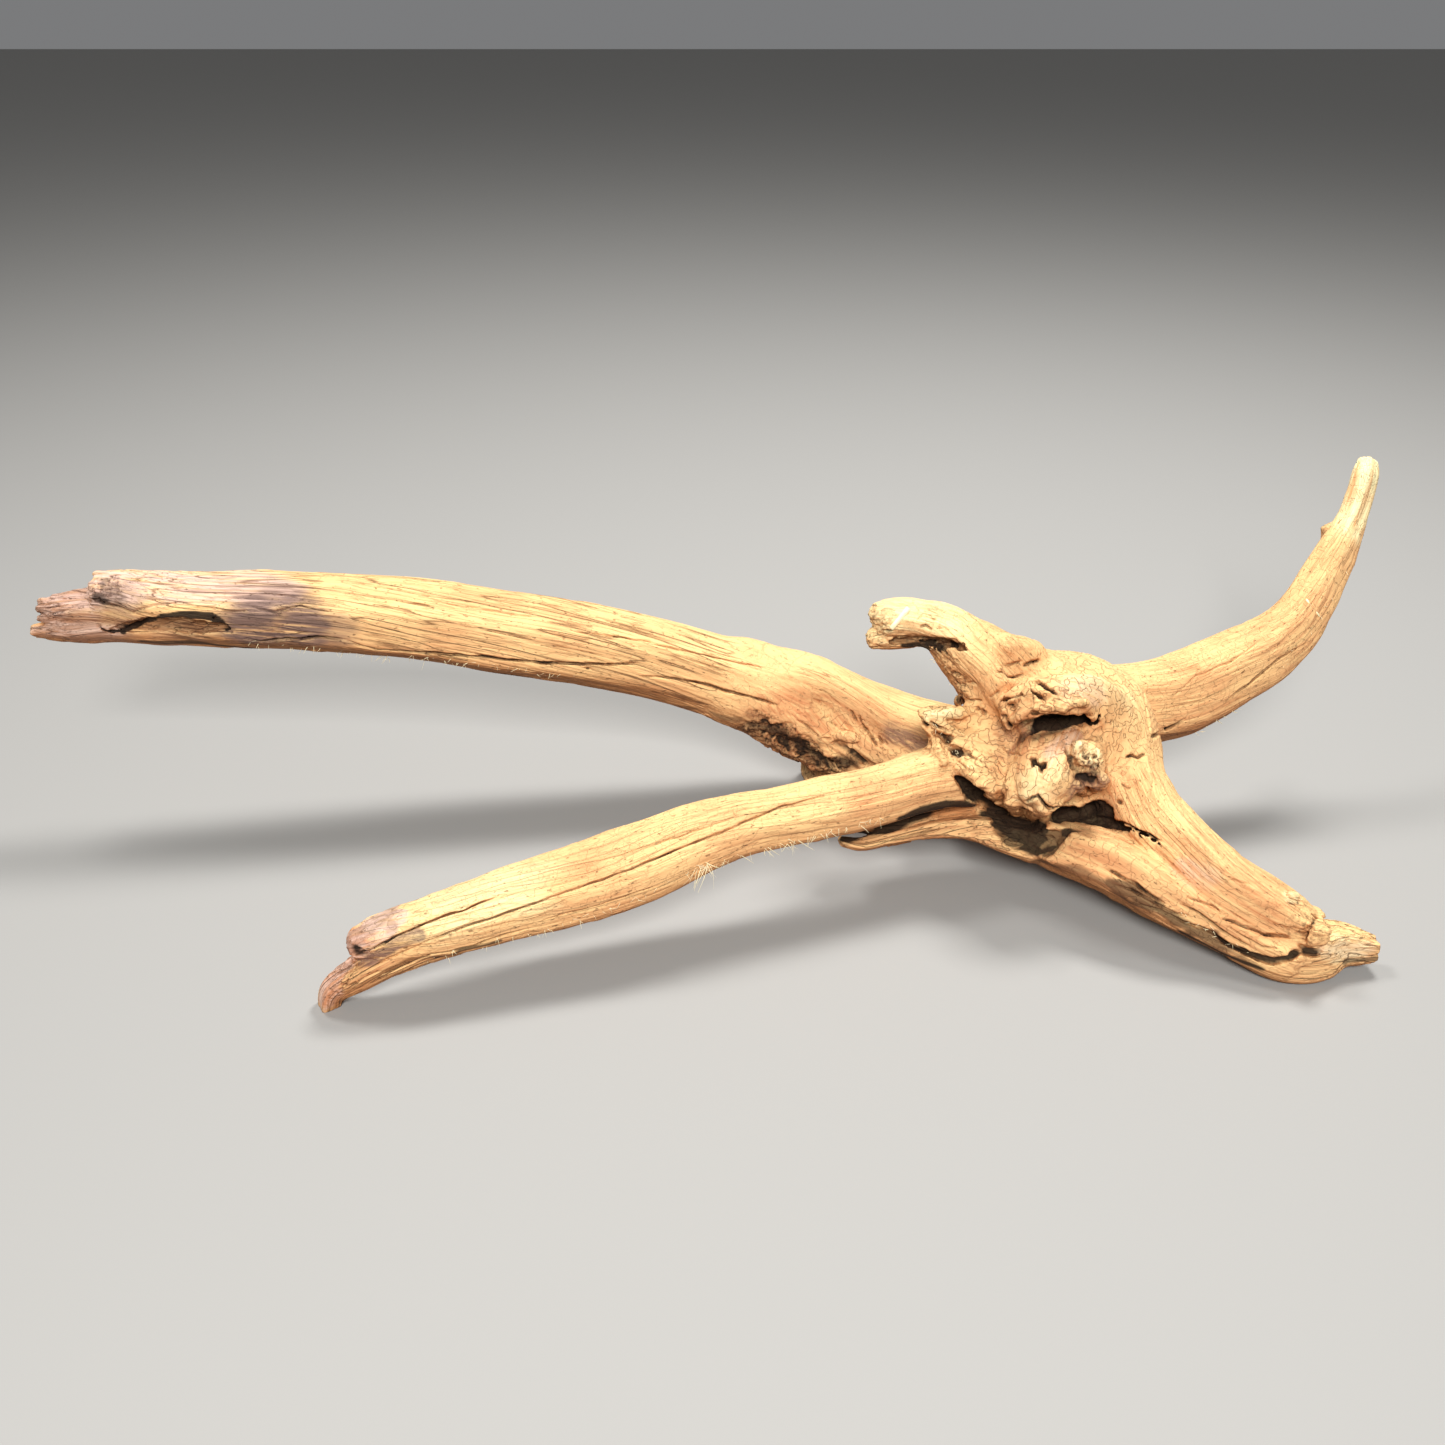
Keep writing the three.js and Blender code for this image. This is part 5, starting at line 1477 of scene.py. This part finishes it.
@lru_cache
def weathered_root_wood():
    """Bare root wood, dried, soaked and dried again: straw and tan streaks run along the fibres.

    The tops are painted lighter and the undersides darker, as painted light and shade. Grooves and places
    close under other wood are painted browner as shade, and cracks, pits and hollows nearly black as painted
    shade. Rotten places are speckled, and water has left grey and purple stains. It is matt all over, and its
    fibres catch the light.
    """
    colours = bpy.context.scene.driftwood_colours
    finish = {"Roughness": 0.86, "IOR": 1.45, "Specular IOR Level": 0.3}
    material, tree, shader = new_material("weathered_root_wood", finish)
    place = node(tree, "TexCoord").outputs["Object"]

    def stored(name):
        """The three values that the mesh holds under one name."""
        found = node(tree, "Attribute", {"attribute_name": name}).outputs["Vector"]
        return node(tree, "SeparateXYZ", Vector=found).outputs

    grain = node(tree, "Attribute", {"attribute_name": "grain"}).outputs["Vector"]
    groove, cavity, shelter = stored("hollows")
    rot, stained, reddened = stored("ageing")
    upward, calm, knotty = stored("facing_shade_and_grain")

    def along_fibres(across, along, detail, roughness=0.55, wave=0.0):
        """Noise that is a given number of mm wide across the fibres, and long along them."""
        scaled = node(tree, "Mapping", {"Scale": (1 / across, 1 / across, 1 / along)}, Vector=grain)
        settings = {"Scale": 1.0, "Detail": detail, "Roughness": roughness, "Distortion": wave}
        return node(tree, "TexNoise", settings, Vector=scaled.outputs["Vector"]).outputs["Fac"]

    def in_space(size, detail):
        """Noise of a given size in mm that has no direction."""
        settings = {"Scale": 1 / (size * MM), "Detail": detail}
        return node(tree, "TexNoise", settings, Vector=place).outputs["Fac"]

    def between(value, low, high, top=1.0):
        """0 below low, top above high, and a straight rise between. With high below low it falls instead."""
        settings = {"From Min": low, "From Max": high, "To Max": top}
        return node(tree, "MapRange", settings, Value=value).outputs["Result"]

    def maths(kind, first, second):
        """One sum of two values, either of which may be a plain number."""
        made = node(tree, "Math", {"operation": kind})
        for socket, value in zip(made.inputs, (first, second)):
            if isinstance(value, bpy.types.NodeSocket):
                tree.links.new(value, socket)
            else:
                socket.default_value = value
        return made.outputs["Value"]

    def lines(values, width):
        """1 on the lines where a noise crosses its middle value, falling to 0 a width away."""
        away = maths("ABSOLUTE", maths("SUBTRACT", values, 0.5), 0.0)
        return between(away, width, 0.0)

    def over(under, colour, amount):
        """Lays one colour over what is under it, by an amount from 0 to 1."""
        mix = node(tree, "Mix", {"data_type": "RGBA", MIX_B: (*colour, 1)}, _0=amount)
        if isinstance(under, bpy.types.NodeSocket):
            tree.links.new(under, mix.inputs[MIX_A])
        else:
            mix.inputs[MIX_A].default_value = (*under, 1)
        return mix.outputs[2]

    streaks = along_fibres(1.9, 60.0, 4, 0.6, 0.1)
    threads = along_fibres(0.6, 16.0, 3, 0.6, 0.1)
    wide_lines = along_fibres(5.0, 150.0, 1, 0.5, 0.15)
    fine_lines = along_fibres(1.8, 45.0, 1, 0.5, 0.15)
    burl = in_space(4.5, 1)
    pores = along_fibres(1.1, 2.6, 1)
    patches = in_space(36.0, 4)
    speckle = in_space(1.5, 4)
    chalk = in_space(0.8, 2)
    plain = maths("MULTIPLY", calm, between(knotty, 0.55, 0.1))
    open_lines = maths("MULTIPLY", lines(wide_lines, 0.022), plain)
    hair_lines = maths("MULTIPLY", lines(fine_lines, 0.03), plain)
    curls = maths("MULTIPLY", lines(burl, 0.03), knotty)
    bleached = node(tree, "Attribute", {"attribute_name": "bleached"}).outputs["Fac"]
    silvered = node(tree, "Attribute", {"attribute_name": "silvered"}).outputs["Fac"]

    # Each layer is a colour and how much of it lies over those before.
    layers = (
        # Painted highlight: the tops, which face up to the lamps, are painted lighter.
        (colours.straw, between(upward, 0.4, 0.9)),
        (colours.red, between(patches, 0.5, 0.7, 0.3)),
        (colours.straw, between(patches, 0.46, 0.32, 0.5)),
        (colours.brown, between(streaks, 0.52, 0.74, 0.3)),
        (colours.straw, between(streaks, 0.47, 0.3, 0.4)),
        (colours.bleached, maths("MULTIPLY", bleached, between(streaks, 0.7, 0.4))),
        (colours.silver, maths("MULTIPLY", silvered, between(streaks, 0.75, 0.45))),
        (colours.red, maths("MULTIPLY", reddened, between(streaks, 0.35, 0.6, 0.8))),
        # Painted shade: the undersides are painted browner, and darkest where they face straight down.
        (colours.brown, between(upward, 0.55, 0.25, 0.7)),
        (colours.umber, between(upward, 0.36, 0.15, 0.6)),
        (colours.umber, maths("MULTIPLY", between(threads, 0.55, 0.76, 0.3), calm)),
        # Painted shade: wood that other wood stands close to is painted browner.
        (colours.brown, between(shelter, 0.2, 0.9, 0.75)),
        # Painted shade in the grooves along the fibres.
        (colours.umber, between(groove, 0.35, 1.0, 0.45)),
        (colours.umber, maths("MULTIPLY", open_lines, 0.7)),
        (colours.umber, maths("MULTIPLY", hair_lines, 0.25)),
        (colours.umber, maths("MULTIPLY", curls, 0.35)),
        (colours.umber, maths("MULTIPLY", between(pores, 0.7, 0.76, 0.6), calm)),
        (colours.umber, maths("MULTIPLY", rot, between(speckle, 0.45, 0.6, 0.7))),
        (colours.bark, maths("MULTIPLY", rot, between(speckle, 0.6, 0.68, 0.8))),
        (colours.stain, maths("MULTIPLY", stained, between(streaks, 0.3, 0.52, 0.9))),
        # Painted shade: cracks, pits, hollows, gouges and the painted-shade zones go nearly black.
        (colours.bark, between(cavity, 0.2, 0.9, 0.94)),
    )
    base = colours.tan
    for laid, amount in layers:
        base = over(base, laid, amount)
    tree.links.new(base, shader.inputs["Base Color"])

    fibres = node(tree, "Bump", {"Strength": 0.8, "Distance": 0.35 * MM}, Height=threads)
    cut = maths("ADD", maths("MULTIPLY", open_lines, 1.3), maths("MULTIPLY", hair_lines, 0.6))
    cut = maths("ADD", maths("ADD", cut, curls), between(pores, 0.66, 0.76))
    cuts = node(tree, "Bump", {"Strength": 1.0, "Distance": 0.45 * MM, "invert": True}, Height=cut,
                Normal=fibres.outputs["Normal"])
    grit = maths("MULTIPLY", chalk, maths("ADD", 0.3, rot))
    grit = node(tree, "Bump", {"Strength": 0.7, "Distance": 0.3 * MM}, Height=grit,
                Normal=cuts.outputs["Normal"])
    tree.links.new(grit.outputs["Normal"], shader.inputs["Normal"])
    return material


@lru_cache
def torn_fibre():
    """Loose fibres of the same wood, torn and dry: nearly white, and matt."""
    colours = bpy.context.scene.driftwood_colours
    material, tree, shader = new_material("torn_fibre", {"Roughness": 0.8, "Specular IOR Level": 0.3})
    place = node(tree, "TexCoord").outputs["Object"]
    mottle = node(tree, "TexNoise", {"Scale": 1 / (4 * MM)}, Vector=place).outputs["Fac"]
    ends = {MIX_A: (*colours.torn, 1), MIX_B: (*colours.bleached, 1)}
    mixed = node(tree, "Mix", {"data_type": "RGBA", **ends}, _0=mottle)
    tree.links.new(mixed.outputs[2], shader.inputs["Base Color"])
    return material


def matt_floor():
    """A smooth pale studio floor, matt, so that it shows the piece's soft shadows and nothing else."""
    return new_material("matt_pale_floor", {"Base Color": (*linear(FLOOR_COLOUR), 1), "Roughness": 0.9})[0]


# Add-on

def length(name, description, default_mm):
    return bpy.props.FloatProperty(name=name, description=description, default=default_mm * MM, min=0.0,
                                   unit="LENGTH", precision=5)


def colour(name, description, code):
    return bpy.props.FloatVectorProperty(name=name, description=description, default=linear(code), min=0.0,
                                         max=1.0, size=3, subtype="COLOR")


def placed(name, data, place):
    """A new camera or lamp, linked to the scene and put in its place in metres."""
    made = bpy.data.objects.new(name, data)
    bpy.context.collection.objects.link(made)
    made.location = place
    return made


class DriftwoodShape(bpy.types.PropertyGroup):
    groove_depth: length("Groove depth", "How deep the wide grooves along the fibres are", GROOVE["height"])
    flute_depth: length("Flute depth", "How deep the narrow lines along the fibres are", FLUTE["height"])
    crumb_depth: length("Crumb depth", "How deep rotten wood is eaten away", CRUMB["height"])

    def in_mm(self):
        """The same values in mm, which threads can read."""
        return Relief(self.groove_depth / MM, self.flute_depth / MM, self.crumb_depth / MM)


class DriftwoodColours(bpy.types.PropertyGroup):
    # Straw is also painted on the tops, where they face up to the lamps, as a painted highlight.
    straw: colour("Straw", "Sun-bleached fibres on the tops of the branches", "efc386")
    tan: colour("Tan", "Bare dry wood", "e4ae78")
    # Brown is also painted shade on the undersides and where other wood stands close.
    brown: colour("Brown", "Wood in sheltered places and between the fibres", "b4713f")
    # Umber is also painted shade in the grooves and on the undersides.
    umber: colour("Umber", "Grooves along the fibres", "754626")
    # Bark is also the near-black painted shade in cracks, pits, hollows and gouges.
    bark: colour("Bark", "Cracks, pits and specks", "0e0805")
    red: colour("Red", "Reddish heartwood", "bd6b43")
    stain: colour("Stain", "Grey and purple water stains", "6b5450")
    silver: colour("Silver", "Pinkish grey wood at the worn ends", "dab6a2")
    torn: colour("Torn", "Freshly torn fibres and chips", "f6e2bf")
    bleached: colour("Bleached", "Wood that sun and water have bleached", "f8ecb6")


class DRIFTWOOD_OT_stage(bpy.types.Operator):
    """Adds the camera, a pale floor and soft studio lights"""
    bl_idname = "driftwood.stage"
    bl_label = "Add stage"

    def execute(self, context):
        camera = placed("camera", bpy.data.cameras.new("camera"), CAMERA_PLACE * MM)
        camera.rotation_euler = (math.pi / 2 - CAMERA_TILT, 0, 0)
        camera.data.lens = CAMERA_LENS
        camera.data.sensor_width = CAMERA_SENSOR
        camera.data.clip_start = 0.01
        context.scene.view_settings.view_transform = "Standard"
        context.scene.camera = camera

        corners = np.array([(-1, -1), (1, -1), (1, 1), (-1, 1)]) * FLOOR_SIDE / 2 / MM
        corners = np.column_stack([corners, np.zeros(4)])
        floor = make_object("floor", corners, [(0, 1, 2, 3)], {}, matt_floor())

        for name, place, width, power in STUDIO_LIGHTS:
            lamp = placed(name, bpy.data.lights.new(name, "AREA"), place)
            lamp.data.size = width
            lamp.data.energy = power
            lamp.rotation_euler = Vector(place).to_track_quat("Z", "Y").to_euler()
        world = bpy.data.worlds.new("studio")
        context.scene.world = world
        world.use_nodes = True
        background = world.node_tree.nodes["Background"]
        background.inputs["Color"].default_value = (*linear(SKY_COLOUR), 1)
        background.inputs["Strength"].default_value = SKY_STRENGTH
        return {"FINISHED"}


class DRIFTWOOD_OT_crown(bpy.types.Operator):
    """Carves the knotty crown that all the branches leave"""
    bl_idname = "driftwood.crown"
    bl_label = "Add crown"

    def execute(self, context):
        for part in ("crown_face", "crown_back"):
            grow(part)
        return {"FINISHED"}


class DRIFTWOOD_OT_limbs(bpy.types.Operator):
    """Carves the long branch, the front branch, the right leg, the horn and the hook"""
    bl_idname = "driftwood.limbs"
    bl_label = "Add limbs"

    def execute(self, context):
        for limb, slot in LIMB_SLOTS.items():
            grow(limb)
        return {"FINISHED"}


class DRIFTWOOD_OT_fibres(bpy.types.Operator):
    """Adds the loose fibres and splinters that stand out of the wood"""
    bl_idname = "driftwood.fibres"
    bl_label = "Add loose fibres"

    def execute(self, context):
        points, quads = loose_fibres(the_wood())
        piece = make_object("loose_fibres", points, quads, {}, torn_fibre())
        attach(piece, "root")
        return {"FINISHED"}


class DRIFTWOOD_PT_panel(bpy.types.Panel):
    """Lists the pieces, their sizes and their colours"""
    bl_idname = "DRIFTWOOD_PT_panel"
    bl_label = "Driftwood"
    bl_space_type = "VIEW_3D"
    bl_region_type = "UI"
    bl_category = "Driftwood"

    def draw(self, context):
        for settings in (context.scene.driftwood_shape, context.scene.driftwood_colours):
            for name in settings.__annotations__:
                self.layout.prop(settings, name)
        for operator in OPERATORS:
            self.layout.operator(operator.bl_idname)


SETTINGS = {"driftwood_shape": DriftwoodShape, "driftwood_colours": DriftwoodColours}
OPERATORS = (DRIFTWOOD_OT_stage, DRIFTWOOD_OT_crown, DRIFTWOOD_OT_limbs, DRIFTWOOD_OT_fibres)


def register():
    for made in (*SETTINGS.values(), *OPERATORS, DRIFTWOOD_PT_panel):
        bpy.utils.register_class(made)
    for name, settings in SETTINGS.items():
        setattr(bpy.types.Scene, name, bpy.props.PointerProperty(type=settings))


def unregister():
    for name in SETTINGS:
        delattr(bpy.types.Scene, name)
    for made in reversed((*SETTINGS.values(), *OPERATORS, DRIFTWOOD_PT_panel)):
        bpy.utils.unregister_class(made)


def main():
    register()
    bpy.ops.driftwood.stage()
    bpy.ops.driftwood.crown()
    bpy.ops.driftwood.limbs()
    bpy.ops.driftwood.fibres()


if __name__ == "__main__":
    main()
